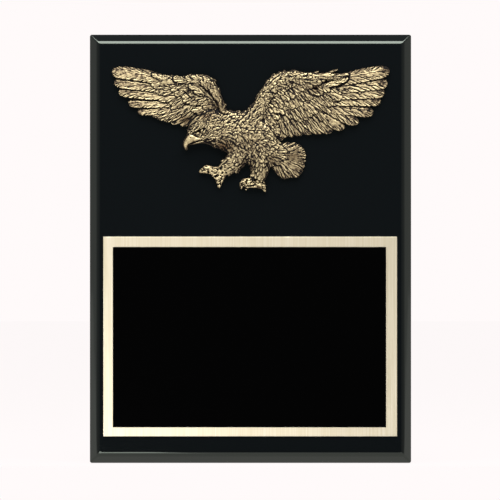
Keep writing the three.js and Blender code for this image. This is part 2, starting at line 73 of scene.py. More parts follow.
log = logging.getLogger("plaque")


def linear(hex_colour: str) -> tuple[float, float, float, float]:
    """Turns an sRGB colour into the linear one that Blender mixes with.

    Args:
        hex_colour: the colour as #rrggbb.

    Returns:
        Red, green, blue and alpha, from 0 to 1.
    """
    parts = [int(hex_colour[i:i + 2], 16) / 255 for i in (1, 3, 5)]
    red, green, blue = (c / 12.92 if c <= 0.04045 else ((c + 0.055) / 1.055) ** 2.4 for c in parts)
    return red, green, blue, 1.0


def feed(node: bpy.types.Node, inputs: Inputs) -> None:
    """Gives a node's inputs their values and links.

    Args:
        node: the node.
        inputs: a value, or the socket that feeds it, for each input by name or number.
    """
    for name, given in inputs.items():
        if isinstance(given, bpy.types.NodeSocket):
            node.id_data.links.new(given, node.inputs[name])
        else:
            node.inputs[name].default_value = given


def add_node(
    tree: bpy.types.NodeTree, kind: str, inputs: Inputs | None = None, stops: Stops = (), **settings: object,
) -> bpy.types.Node:
    """Adds a node with its settings, values and links.

    Args:
        tree: the tree that gets the node.
        kind: the node's type name, without ShaderNode in front.
        inputs: a value or a socket for each input.
        stops: a colour ramp's places from 0 to 1 with their colours as #rrggbb, in order.
        settings: the node's own properties.

    Returns:
        The new node.
    """
    node = tree.nodes.new("ShaderNode" + kind)
    for name, value in settings.items():
        setattr(node, name, value)
    if stops:
        elements = node.color_ramp.elements
        elements.remove(elements[-1])
        elements[0].position = stops[0][0]
        for place, _ in stops[1:]:
            elements.new(place)
        for element, (_, colour) in zip(elements, stops):
            element.color = linear(colour)
    feed(node, inputs or {})
    return node


def new_material(name: str) -> tuple[bpy.types.Material, bpy.types.NodeTree, bpy.types.Node]:
    """Makes a material with a bare Principled shader.

    Args:
        name: the finish's name.

    Returns:
        The material, its tree and the shader node.
    """
    material = bpy.data.materials.new(name)
    material.use_nodes = True
    tree = material.node_tree
    return material, tree, tree.nodes["Principled BSDF"]


def settled_dust(
    tree: bpy.types.NodeTree, place: bpy.types.NodeSocket, pitch: float, rarity: float, radius: float,
) -> bpy.types.NodeSocket:
    """Draws a few round specks of dust under a gloss coat.

    Args:
        tree: the tree that gets the pattern.
        place: the coordinates that it lies in.
        pitch: how far apart specks could lie, in millimetres.
        rarity: the share of places that stay clean.
        radius: a speck's radius, as a share of the pitch.

    Returns:
        1 on a speck, and 0 elsewhere.
    """
    cells = add_node(tree, "TexVoronoi", {"Scale": 1 / (pitch * MM), "Vector": place})
    rare = add_node(tree, "Math", {0: cells.outputs["Color"], 1: rarity}, operation="GREATER_THAN")
    near = add_node(tree, "Math", {0: cells.outputs["Distance"], 1: radius}, operation="LESS_THAN")
    both = {0: rare.outputs[0], 1: near.outputs[0]}
    return add_node(tree, "Math", both, operation="MULTIPLY").outputs[0]


@dataclass(frozen=True)
class PianoLacquer:
    """Black polyester lacquer, sprayed thick and buffed.

    It gives the eye a deep black with sharp reflections that swim a little, and a few settled specks of dust.
    """

    colour: str = "#07090b"
    speck_colour: str = "#3a3f40"
    sheen: tuple[float, ...] = (0.88, 1.0, 0.86, 1.0)
    roughness: float = 0.045
    haze: float = 0.03
    ior: float = 1.54
    swim_mm: float = 14.0
    swim_strength: float = 0.05
    swim_depth_mm: float = 0.4
    speck_mm: float = 1.9
    speck_rarity: float = 0.985
    speck_radius: float = 0.09

    def make(self) -> bpy.types.Material:
        """Builds the node material.

        Returns:
            The material.
        """
        material, tree, shader = new_material("piano_lacquer")
        place = add_node(tree, "TexCoord").outputs["Object"]
        scale = 1 / (self.swim_mm * MM)
        noise = add_node(tree, "TexNoise", {"Scale": scale, "Detail": 1.0, "Vector": place})
        swim = noise.outputs["Fac"]
        dust = settled_dust(tree, place, self.speck_mm, self.speck_rarity, self.speck_radius)
        mixed = {"Factor": dust, "A": linear(self.colour), "B": linear(self.speck_colour)}
        colour = add_node(tree, "Mix", mixed, data_type="RGBA")
        dullest = self.roughness + self.haze
        haze = add_node(tree, "MapRange", {"To Min": self.roughness, "To Max": dullest, "Value": swim})
        uneven = {"Strength": self.swim_strength, "Distance": self.swim_depth_mm * MM, "Height": swim}
        feed(shader, {
            "Base Color": colour.outputs["Result"],
            "Roughness": haze.outputs["Result"],
            "Normal": add_node(tree, "Bump", uneven).outputs["Normal"],
            "IOR": self.ior,
            "Specular Tint": self.sheen,
        })
        return material


@dataclass(frozen=True)
class RawFibreboard:
    """Medium-density fibreboard as the router leaves it.

    It gives the eye the pale brown felt of cut fibres inside the keyhole. Real fibres are finer, and these
    are drawn as coarse as they need to show.
    """

    fibre_mm: float = 0.5
    colours: Stops = ((0.3, "#5d4631"), (0.7, "#8d7152"))
    roughness: float = 0.85
    felt_strength: float = 0.5
    felt_depth_mm: float = 0.2

    def make(self) -> bpy.types.Material:
        """Builds the node material.

        Returns:
            The material.
        """
        material, tree, shader = new_material("raw_fibreboard")
        place = add_node(tree, "TexCoord").outputs["Object"]
        scale = 1 / (self.fibre_mm * MM)
        noise = add_node(tree, "TexNoise", {"Scale": scale, "Detail": 4.0, "Vector": place})
        fibres = noise.outputs["Fac"]
        felt = {"Strength": self.felt_strength, "Distance": self.felt_depth_mm * MM, "Height": fibres}
        feed(shader, {
            "Base Color": add_node(tree, "ValToRGB", {"Fac": fibres}, self.colours).outputs["Color"],
            "Normal": add_node(tree, "Bump", felt).outputs["Normal"],
            "Roughness": self.roughness,
        })
        return material


@dataclass(frozen=True)
class AntiqueGold:
    """Zinc casting plated with brass, blackened and rubbed back.

    It gives the eye warm, soft highlights on each ridge and near-black patina in each hollow, with painted
    shade in hollows beside taller neighbours. The mesh carries how much each place is rubbed, less that
    painted shade, and how brown its patina has stayed.
    """

    grain_mm: float = 0.45
    grain_strength: float = 0.35
    grain_depth_mm: float = 0.12
    mottle: float = 0.22
    patina: Stops = (
        (0.0, "#090606"), (0.2, "#120e0b"), (0.4, "#594b3b"), (0.62, "#a09170"), (0.85, "#b3a47f"),
        (1.0, "#c6b78f"),
    )
    brown: str = "#6e564c"
    dull: float = 0.65
    polished: float = 0.52
    metal_from: tuple[float, float] = (0.2, 0.5)
    polish_from: tuple[float, float] = (0.3, 0.95)
    black_sheen: float = 0.1

    def make(self) -> bpy.types.Material:
        """Builds the node material.

        Returns:
            The material.
        """
        material, tree, shader = new_material("antique_gold")
        place = add_node(tree, "TexCoord").outputs["Object"]
        # How far each place is rubbed bare, with painted shade in hollows beside taller neighbours.
        rubbed_and_shaded = add_node(tree, "Attribute", attribute_name=Relief.RUBBED_AND_SHADED)
        brown = add_node(tree, "Attribute", attribute_name=Relief.BROWN)
        scale = 1 / (self.grain_mm * MM)
        noise = add_node(tree, "TexNoise", {"Scale": scale, "Detail": 3.0, "Vector": place})
        grain = noise.outputs["Fac"]
        mottle = {0: grain, 1: self.mottle, 2: -self.mottle / 2}
        uneven = add_node(tree, "Math", mottle, operation="MULTIPLY_ADD")
        both = {0: rubbed_and_shaded.outputs["Fac"], 1: uneven.outputs[0]}
        shown = add_node(tree, "Math", both, operation="ADD", use_clamp=True).outputs[0]
        ramp = add_node(tree, "ValToRGB", {"Fac": shown}, self.patina)
        mixed = {"Factor": brown.outputs["Fac"], "A": ramp.outputs["Color"], "B": linear(self.brown)}
        tinted = add_node(tree, "Mix", mixed, data_type="RGBA", blend_type="MULTIPLY")
        bared = {"From Min": self.metal_from[0], "From Max": self.metal_from[1], "Value": shown}
        metal = add_node(tree, "MapRange", bared)
        run = {"From Min": self.polish_from[0], "From Max": self.polish_from[1], "Value": shown}
        run |= {"To Min": self.dull, "To Max": self.polished}
        pitted = {"Strength": self.grain_strength, "Distance": self.grain_depth_mm * MM, "Height": grain}
        feed(shader, {
            "Base Color": tinted.outputs["Result"],
            "Metallic": metal.outputs["Result"],
            "Roughness": add_node(tree, "MapRange", run).outputs["Result"],
            "Normal": add_node(tree, "Bump", pitted).outputs["Normal"],
            "Specular IOR Level": self.black_sheen,
        })
        return material


@dataclass(frozen=True)
class BrushedBrass:
    """Brass sheet, brushed upright and clear coated.

    It gives the eye a pale straw metal with fine upright lines and a broad soft glare. Real brush lines are
    finer, and these are drawn as coarse as they need to show.
    """

    line_mm: float = 0.7
    line_length_mm: float = 60.0
    line_strength: float = 0.25
    line_depth_mm: float = 0.05
    colours: Stops = ((0.25, "#e8dcba"), (0.5, "#efe4c7"), (0.75, "#f5ecd5"))
    smoothest: float = 0.36
    roughest: float = 0.46

    def make(self) -> bpy.types.Material:
        """Builds the node material.

        Returns:
            The material.
        """
        material, tree, shader = new_material("brushed_brass")
        place = add_node(tree, "TexCoord").outputs["Object"]
        across = 1 / (self.line_mm * MM)
        upwards = 1 / (self.line_length_mm * MM)
        drawn = add_node(tree, "Mapping", {"Scale": (across, across, upwards), "Vector": place})
        noise = add_node(tree, "TexNoise", {"Scale": 1.0, "Detail": 3.0, "Vector": drawn.outputs["Vector"]})
        lines = noise.outputs["Fac"]
        run = {"To Min": self.smoothest, "To Max": self.roughest, "Value": lines}
        scored = {"Strength": self.line_strength, "Distance": self.line_depth_mm * MM, "Height": lines}
        feed(shader, {
            "Base Color": add_node(tree, "ValToRGB", {"Fac": lines}, self.colours).outputs["Color"],
            "Roughness": add_node(tree, "MapRange", run).outputs["Result"],
            "Normal": add_node(tree, "Bump", scored).outputs["Normal"],
            "Metallic": 1.0,
        })
        return material


@dataclass(frozen=True)
class BlackCoatedBrass:
    """Brass sheet with a baked gloss black coating, as used for engraving.

    It gives the eye a black deeper than the board's, with a few specks of dust.
    """

    colour: str = "#020202"
    speck_colour: str = "#34343a"
    haze_mm: float = 9.0
    smoothest: float = 0.08
    roughest: float = 0.13
    sheen: float = 0.04
    speck_mm: float = 5.0
    speck_rarity: float = 0.93
    speck_radius: float = 0.06

    def make(self) -> bpy.types.Material:
        """Builds the node material.

        Returns:
            The material.
        """
        material, tree, shader = new_material("black_coated_brass")
        place = add_node(tree, "TexCoord").outputs["Object"]
        dust = settled_dust(tree, place, self.speck_mm, self.speck_rarity, self.speck_radius)
        mixed = {"Factor": dust, "A": linear(self.colour), "B": linear(self.speck_colour)}
        scale = 1 / (self.haze_mm * MM)
        haze = add_node(tree, "TexNoise", {"Scale": scale, "Detail": 2.0, "Vector": place})
        run = {"To Min": self.smoothest, "To Max": self.roughest, "Value": haze.outputs["Fac"]}
        feed(shader, {
            "Base Color": add_node(tree, "Mix", mixed, data_type="RGBA").outputs["Result"],
            "Roughness": add_node(tree, "MapRange", run).outputs["Result"],
            "Specular IOR Level": self.sheen,
        })
        return material


def start_fresh() -> None:
    """Leaves edit mode and deselects everything, so that the next operator acts on its own piece alone."""
    if bpy.context.object is not None and bpy.context.object.mode != "OBJECT":
        bpy.ops.object.mode_set(mode="OBJECT")
    bpy.ops.object.select_all(action="DESELECT")


def new_piece(name: str) -> bpy.types.Object:
    """Names the primitive that was just added.

    Args:
        name: the piece's name.

    Returns:
        The object.
    """
    piece = bpy.context.object
    piece.name = name
    piece.data.name = name
    return piece


def take(piece: bpy.types.Object) -> None:
    """Makes a piece the only selected one and the active one.

    Args:
        piece: the object.
    """
    start_fresh()
    piece.select_set(True)
    bpy.context.view_layer.objects.active = piece


def choose(piece: bpy.types.Object, kind: str, chosen: list[bool] | np.ndarray) -> None:
    """Selects some vertices or faces of the active mesh and leaves it in edit mode.

    Args:
        piece: the mesh object, in object mode.
        kind: VERT or FACE.
        chosen: True for each one that is selected.
    """
    bpy.ops.object.mode_set(mode="EDIT")
    bpy.ops.mesh.select_mode(type=kind)
    bpy.ops.mesh.select_all(action="DESELECT")
    bpy.ops.object.mode_set(mode="OBJECT")
    parts = piece.data.vertices if kind == "VERT" else piece.data.polygons
    parts.foreach_set("select", chosen)
    bpy.ops.object.mode_set(mode="EDIT")


def places_of(mesh: bpy.types.Mesh) -> np.ndarray:
    """Reads where a mesh's vertices are.

    Args:
        mesh: the mesh.

    Returns:
        Each vertex's x, y and z, one row each.
    """
    places = np.zeros(len(mesh.vertices) * 3)
    mesh.vertices.foreach_get("co", places)
    return places.reshape(-1, 3)


def stand_up(piece: bpy.types.Object, x: float, depth: float, z: float) -> None:
    """Turns a piece that lies face up so that it faces -Y, and puts its place into its mesh.

    Args:
        piece: the object, drawn in metres about the origin.
        x: where its origin goes, to the right, in metres.
        depth: the Y of its back, in metres.
        z: where its origin goes, upwards, in metres.
    """
    take(piece)
    piece.rotation_euler = (math.radians(90), 0, 0)
    piece.location = (x, depth, z)
    bpy.ops.object.transform_apply(location=True, rotation=True, scale=True)


def hand_over(piece: bpy.types.Object, node: str) -> None:
    """Puts a finished piece in its CAD node's place.

    Args:
        piece: the finished piece.
        node: the CAD node that it stands for.
    """
    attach(piece, BODY)
    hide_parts(node)
    log.info("%s: %d faces", piece.name, len(piece.data.polygons))


@dataclass
class Board:
    """The fibreboard panel with its bevelled front edge and the keyhole in its back.

    Sizes are in millimetres and repeat the solid's.
    """

    width: float = 228.6
    height: float = 304.8
    thickness: float = 15.875
    bevel_width: float = 8.0
    shoulder_radius: float = 5.0
    edge_radius: float = 1.2
    corner_radius: float = 1.5
    arc_steps: int = 12
    corner_steps: int = 8
    face_inset: float = 0.4
    smooth_angle: float = 28.0
    keyhole_below_top: float = 46.0
    keyhole_travel: float = 14.0
    keyhole_head: float = 9.5
    keyhole_slot: float = 5.0
    keyhole_lip: float = 3.0
    keyhole_depth: float = 9.5
    keyhole_facets: int = 48
    cut_past: float = 1.0
    raw_from: float = 0.01
    raw_past: float = 0.1
    finish: PianoLacquer = PianoLacquer()
    core: RawFibreboard = RawFibreboard()

    def keyhole_start(self) -> float:
        """How far the middle of the screw's way in lies above the board's middle."""
        return self.height / 2 - self.keyhole_below_top - self.keyhole_travel / 2

    def section(self) -> list[tuple[float, float]]:
        """Works out the edge's profile.

        Returns:
            How far in from the side and how high each step lies, from the top of the side to the flat face.
        """
        eighth = math.pi / 4
        shoulder_run = self.shoulder_radius * math.sin(eighth)
        shoulder_drop = self.shoulder_radius * (1 - math.cos(eighth))
        edge_run = self.edge_radius * (1 - math.cos(eighth))
        slope = self.bevel_width - shoulder_run - edge_run
        side_top = self.thickness - shoulder_drop - slope - self.edge_radius * math.sin(eighth)
        steps = [(0.0, side_top)]
        for i in range(1, self.arc_steps + 1):
            angle = eighth * i / self.arc_steps
            inset = self.edge_radius * (1 - math.cos(angle))
            steps.append((inset, side_top + self.edge_radius * math.sin(angle)))
        for i in range(self.arc_steps + 1):
            angle = eighth * (1 - i / self.arc_steps)
            inset = self.bevel_width - self.shoulder_radius * math.sin(angle)
            steps.append((inset, self.thickness - self.shoulder_radius * (1 - math.cos(angle))))
        return steps

    def panel(self) -> bpy.types.Object:
        """Raises the panel from its rounded outline, one extrusion for each step of the profile.

        Returns:
            The panel, lying face up.
        """
        bpy.ops.mesh.primitive_plane_add(size=MM)
        piece = new_piece("lacquered_board")
        bpy.ops.object.mode_set(mode="EDIT")
        bpy.ops.transform.resize(value=(self.width, self.height, 1), center_override=(0, 0, 0))
        bpy.ops.mesh.bevel(offset=self.corner_radius * MM, segments=self.corner_steps, affect="VERTICES")
        wide, tall, level = self.width, self.height, 0.0
        bpy.ops.mesh.select_all(action="SELECT")
        for inset, rise in self.section():
            bpy.ops.mesh.extrude_region_move(TRANSFORM_OT_translate={"value": (0, 0, (rise - level) * MM)})
            new_wide = self.width - 2 * inset
            new_tall = self.height - 2 * inset
            bpy.ops.transform.resize(value=(new_wide / wide, new_tall / tall, 1), center_override=(0, 0, 0))
            wide, tall, level = new_wide, new_tall, rise
        bpy.ops.mesh.inset(thickness=self.face_inset * MM)
        bpy.ops.object.mode_set(mode="OBJECT")
        return piece

    def cutter(self, width: float, low: float, high: float, travel: float) -> bpy.types.Object:
        """Makes a bar with round ends that cuts part of the keyhole.

        Args:
            width: the bar's width.
            low: its end towards the back of the board.
            high: its end inside the board.
            travel: how far its upper round end is moved up.

        Returns:
            The cutting object.
        """
        start = self.keyhole_start()
        bpy.ops.mesh.primitive_cylinder_add(
            vertices=self.keyhole_facets, radius=width / 2 * MM, depth=(high - low) * MM,
            location=(0, start * MM, (low + high) / 2 * MM))
        cutter = new_piece("keyhole_cutter")
        bpy.ops.object.transform_apply(location=True, rotation=False, scale=False)
        upper = [v.co.y > start * MM - 1e-7 for v in cutter.data.vertices]
        take(cutter)
        choose(cutter, "VERT", upper)
        bpy.ops.transform.translate(value=(0, travel * MM, 0))
        bpy.ops.object.mode_set(mode="OBJECT")
        return cutter

    def cut_keyhole(self, piece: bpy.types.Object) -> None:
        """Cuts the screw's way in, the slot above it and the wider channel behind the slot's lips.

        Args:
            piece: the panel, lying face up.
        """
        depth, lip = self.keyhole_depth, self.keyhole_lip
        bars = (
            (self.keyhole_head, -self.cut_past, depth, 0.0),
            (self.keyhole_head, lip, depth, self.keyhole_travel),
            (self.keyhole_slot, -self.cut_past, (lip + depth) / 2, self.keyhole_travel),
        )
        for width, low, high, travel in bars:
            start_fresh()
            cutter = self.cutter(width, low, high, travel)
            take(piece)
            cut = piece.modifiers.new("keyhole", "BOOLEAN")
            cut.operation = "DIFFERENCE"
            cut.solver = "EXACT"
            cut.object = cutter
            bpy.ops.object.modifier_apply(modifier=cut.name)
            bpy.data.objects.remove(cutter)

    def dress(self, piece: bpy.types.Object) -> None:
        """Lacquers the panel and leaves the routed faces of the keyhole raw.

        Args:
            piece: the panel, lying face up, with its keyhole cut.
        """
        piece.data.materials.append(self.finish.make())
        piece.data.materials.append(self.core.make())
        reach = self.keyhole_head
        start = self.keyhole_start()
        for face in piece.data.polygons:
            x, y, z = (c / MM for c in face.center)
            in_keyhole = abs(x) < reach and start - reach < y < start + self.keyhole_travel + reach
            inside = self.raw_from < z < self.keyhole_depth + self.raw_past
            face.material_index = int(in_keyhole and inside)

    def build(self) -> bpy.types.Object:
        """Models the board, dresses it and puts it in place of its solid.

        Returns:
            The finished board.
        """
        start_fresh()
        piece = self.panel()
        self.cut_keyhole(piece)
        self.dress(piece)
        stand_up(piece, 0, 0, 0)
        bpy.ops.object.shade_smooth_by_angle(angle=math.radians(self.smooth_angle))
        hand_over(piece, "board")
        return piece


def soft_step(value: np.ndarray | float) -> np.ndarray:
    """A smooth rise from 0 to 1 as the value goes from 0 to 1."""
    held = np.clip(value, 0.0, 1.0)
    return held * held * (3.0 - 2.0 * held)


def on_curve(points: Points, t: float) -> np.ndarray:
    """A point on the smooth curve through evenly counted points.

    Args:
        points: what the curve passes through.
        t: the place on it, from 0 to 1.

    Returns:
        The point's x and y.
    """
    last = len(points) - 1
    index = int(min(math.floor(last * t), last))
    share = last * t - index
    p = np.array(points, float)
    before = p[max(index - 1, 0)]
    here = p[index]
    ahead = p[min(index + 1, last)]
    beyond = p[min(index + 2, last)]
    slope_here = (ahead - before) / 2
    slope_ahead = (beyond - here) / 2
    cubic = 2 * here - 2 * ahead + slope_here + slope_ahead
    square = -3 * here + 3 * ahead - 2 * slope_here - slope_ahead
    return cubic * share**3 + square * share**2 + slope_here * share + here


def to_left(forward: np.ndarray) -> np.ndarray:
    """The direction a quarter turn to the left of another."""
    return np.array((-forward[1], forward[0]))


def along(values: Values, t: float | np.ndarray) -> float | np.ndarray:
    """The value at place t, from 0 to 1, in a list of evenly spread values."""
    return np.interp(t, np.linspace(0, 1, len(values)), values)


class Plumage(Enum):
    """The kinds of feather in the relief."""

    PRIMARY = "primary"
    SECONDARY = "secondary"
    COVERT = "covert"
    TAIL = "tail"
    PLUME = "plume"
    SCALE = "scale"
    LEAF = "leaf"
    LOBE = "lobe"


@dataclass(frozen=True)
class Barbing:
    """How a kind of feather is carved. Lengths are in millimetres and angles in degrees.

    The barbs leave the shaft at the inner angle and reach the outline at the outer one. pitch is how far
    apart the gaps between them are, gap how wide, depth how deep, and under how deep in the half that lies
    lower. starts is how far out from the shaft the gaps start, as a share of the way to the outline, and
    notch how deep they cut into it. shaft is how high the shaft stands and lean how far it lies off the
    middle. camber is how far the middle is raised, roll and roll_width are how the outline is rounded off,
    and edge is how much patina stays along it.
    """

    pitch: float
    inner: float
    outer: float
    depth: float
    shaft: float
    gap: float = 0.3
    lean: float = 0.0
    camber: float = 0.1
    roll: float = 0.15
    roll_width: float = 0.4
    under: float = 0.6
    edge: float = 0.0
    starts: tuple[float, float] = (0.0, 0.6)
    notch: float = 0.8


BARBING = {
    Plumage.PRIMARY: Barbing(
        1.9, 17, 40, 0.55, 0.2, gap=0.4, lean=0.25, camber=0.05, edge=0.8, starts=(0.3, 0.85)),
    Plumage.SECONDARY: Barbing(
        1.8, 10, 26, 0.55, 0.12, gap=0.4, lean=0.3, camber=0.05, edge=0.8, starts=(0.1, 0.7)),
    Plumage.COVERT: Barbing(
        1.8, 10, 28, 0.5, 0.1, gap=0.4, lean=0.25, camber=0.0, edge=0.8, starts=(0.15, 0.7)),
    Plumage.TAIL: Barbing(1.6, 7, 9, 0.6, 0.0, gap=0.4, under=1.0, edge=0.5, notch=0.1),
    Plumage.PLUME: Barbing(2.0, 10, 14, 0.1, 0.0, camber=0.2),
    Plumage.SCALE: Barbing(1.8, 9, 18, 0.3, 0.0, gap=0.38, under=1.0, edge=1.0),
    Plumage.LEAF: Barbing(
        2.0, 9, 24, 0.3, 0.0, gap=0.38, roll=0.5, roll_width=0.8, under=1.0, edge=1.0),
    Plumage.LOBE: Barbing(1.5, 12, 30, 0.45, 0.0, gap=0.34, under=1.0, edge=1.0, starts=(0.0, 0.45)),
}
# How far inside the outline a place counts as long as nothing is laid there, in millimetres.
FAR_OUT = -9.0


@dataclass
class Relief:
    """The casting's height map, lying face up, in millimetres from the eagle's reference point.

    height is how high the metal stands above its flat back, and reach how far inside the outline a place is.
    bare is 1 where there are no feathers, dark is how much patina stays, brown how brown it is, and old how
    far a place has never been rubbed. way_x and way_y are the direction in which the barbs run.
    """

    # How far each place is rubbed bare, less its patina and the painted shade in hollows beside taller
    # neighbours.
    RUBBED_AND_SHADED = "rubbed_and_shaded"
    BROWN = "brown"

    left: float = -102.6
    bottom: float = -49.0
    columns: int = 663
    rows: int = 311
    step: float = 0.31
    rim: float = 0.9
    highest: float = 8.6
    height: np.ndarray = field(init=False)
    reach: np.ndarray = field(init=False)
    bare: np.ndarray = field(init=False)
    dark: np.ndarray = field(init=False)
    brown: np.ndarray = field(init=False)
    old: np.ndarray = field(init=False)
    way_x: np.ndarray = field(init=False)
    way_y: np.ndarray = field(init=False)

    def __post_init__(self) -> None:
        """Starts with an empty sheet."""
        self.xs = self.left + self.step * np.arange(self.columns)
        self.ys = self.bottom + self.step * np.arange(self.rows)
        shape = (self.rows, self.columns)
        self.height = np.zeros(shape)
        self.reach = np.full(shape, FAR_OUT)
        self.bare = np.zeros(shape)
        self.dark = np.zeros(shape)
        self.brown = np.zeros(shape)
        self.old = np.zeros(shape)
        self.way_x = np.ones(shape)
        self.way_y = np.zeros(shape)

    def window(self, low: np.ndarray, high: np.ndarray) -> tuple[Window, np.ndarray, np.ndarray]:
        """Finds the part of the sheet between two corners.

        Args:
            low: the lower left corner.
            high: the upper right corner.

        Returns:
            The slices, and the places' x and y.
        """
        first = np.floor((np.array(low) - (self.left, self.bottom)) / self.step).astype(int)
        past = np.ceil((np.array(high) - (self.left, self.bottom)) / self.step).astype(int) + 1
        i0, j0 = np.clip(first, 0, (self.columns - 2, self.rows - 2))
        i1, j1 = np.clip(past, (i0 + 2, j0 + 2), (self.columns, self.rows))
        return (slice(j0, j1), slice(i0, i1)), self.xs[None, i0:i1], self.ys[j0:j1, None]

    def lay(
        self, cut: Window, reach: np.ndarray, height: np.ndarray, way: tuple[np.ndarray | float, ...],
        dark: np.ndarray | float = 0.0, bare: float = 0.0, old: np.ndarray | float = 0.0,
    ) -> None:
        """Lays a form on the sheet, where it stands above what is there.

        Args:
            cut: the part of the sheet.
            reach: how far inside the form each place is.
            height: the form's height there.
            way: the x and y of the direction in which its feathers or barbs run.
            dark: how much patina stays in its gaps, from 0 to 1.
            bare: 1 for a form with no feathers.
            old: how much of the form has never been rubbed, from 0 to 1.
        """
        above = (reach > 0) & (height > self.height[cut])
        laid = (
            (self.height, height), (self.bare, bare), (self.dark, dark), (self.way_x, way[0]),
            (self.way_y, way[1]), (self.old, old),
        )
        for sheet, value in laid:
            sheet[cut] = np.where(above, value, sheet[cut])
        self.reach[cut] = np.maximum(self.reach[cut], reach)

    def blurred(self, values: np.ndarray, radius: float) -> np.ndarray:
        """Softens a sheet of values.

        Args:
            values: one value for each place.
            radius: how far they spread.

        Returns:
            The softened values.
        """
        up = np.fft.fftfreq(values.shape[0], self.step)[:, None]
        across = np.fft.rfftfreq(values.shape[1], self.step)[None, :]
        gain = np.exp(-2 * (math.pi * radius) ** 2 * (up**2 + across**2))
        return np.fft.irfft2(np.fft.rfft2(values) * gain, s=values.shape)

    def settled(self, values: np.ndarray, radius: float) -> np.ndarray:
        """Softens values that only count inside the outline, and carries them a little past it.

        Args:
            values: one value for each place.
            radius: how far they spread.

        Returns:
            The softened values.
        """
        inside = (self.reach > 0).astype(float)
        weight = self.blurred(inside, radius)
        total = self.blurred(values * inside, radius)
        return np.where(weight > 1e-3, total / np.maximum(weight, 1e-3), 0.0)

    def grain(self, size: float, seed: int) -> np.ndarray:
        """Even noise with a standard deviation of 1.

        Args:
            size: the size of its grains.
            seed: which noise.

        Returns:
            One value for each place.
        """
        noise = self.blurred(np.random.default_rng(seed).standard_normal(self.height.shape), size)
        return noise / noise.std()

    def nearest(self, j: np.ndarray, i: np.ndarray) -> tuple[np.ndarray, np.ndarray]:
        """The rows and columns nearest to some places, which are counted in steps."""
        return (np.clip(np.rint(j), 0, self.rows - 1).astype(int),
                np.clip(np.rint(i), 0, self.columns - 1).astype(int))

    def streaks(self, width: float, length: float, seed: int) -> np.ndarray:
        """Even noise drawn out along the feathers, with a standard deviation of 1.

        Args:
            width: the size of its grains across the feathers.
            length: how long they are drawn out.
            seed: which noise.

        Returns:
            One value for each place.
        """
        grain = self.grain(width, seed)
        noise = grain - 0.8 * self.blurred(grain, 2 * width)
        total = noise.copy()
        for sign in (1, -1):
            j, i = np.mgrid[0.0:self.rows, 0.0:self.columns]
            at = self.nearest(j, i)
            for _ in range(round(length / 2 / self.step)):
                i += sign * self.way_x[at]
                j += sign * self.way_y[at]
                at = self.nearest(j, i)
                total += noise[at]
        return total / total.std()

    def tallest_near(self, steps: float) -> np.ndarray:
        """Finds the greatest height around each place.

        Args:
            steps: how many steps away it looks.

        Returns:
            One value for each place.
        """
        reach = int(steps)
        padded = np.pad(self.height, reach, mode="edge")
        around = range(2 * reach + 1)
        close = [(j, i) for j in around for i in around if math.hypot(j - reach, i - reach) < steps]
        return np.max([padded[j:j + self.rows, i:i + self.columns] for j, i in close], axis=0)

    def near(self, x: float, y: float, radius_x: float, radius_y: float) -> tuple[Window, np.ndarray]:
        """Measures an oval about a place.

        Args:
            x: its middle.
            y: its middle.
            radius_x: half its length.
            radius_y: half its height.

        Returns:
            The part of the sheet around it, and how far out each place is, with 1 on the oval.
        """
        size = np.array((radius_x, radius_y))
        cut, xs, ys = self.window((x, y) - 2 * size, (x, y) + 2 * size)
        return cut, np.hypot((xs - x) / radius_x, (ys - y) / radius_y)

    def press(self, x: float, y: float, radius_x: float, radius_y: float, depth: float) -> None:
        """Presses a smooth oval hollow into the metal.

        Args:
            x: its middle.
            y: its middle.
            radius_x: half its length.
            radius_y: half its height.
            depth: how deep it is, or how high with a minus.
        """
        cut, out = self.near(x, y, radius_x, radius_y)
        self.height[cut] -= depth * (1 - soft_step(out / 1.3)) * (self.reach[cut] > 0)

    def engrave(self, path: Points, width: float, depth: float) -> None:
        """Cuts a groove along a curve.

        Args:
            path: what the curve passes through.
            width: the groove's width.
            depth: its depth.
        """
        middle = np.array([on_curve(path, t) for t in np.linspace(0, 1, 24)])
        cut, x, y = self.window(middle.min(0) - 2 * width, middle.max(0) + 2 * width)
        away = np.min([np.hypot(x - a, y - b) for a, b in middle], axis=0)
        self.height[cut] -= depth * np.exp(-((away / width * 2) ** 2)) * (self.reach[cut] > 0)


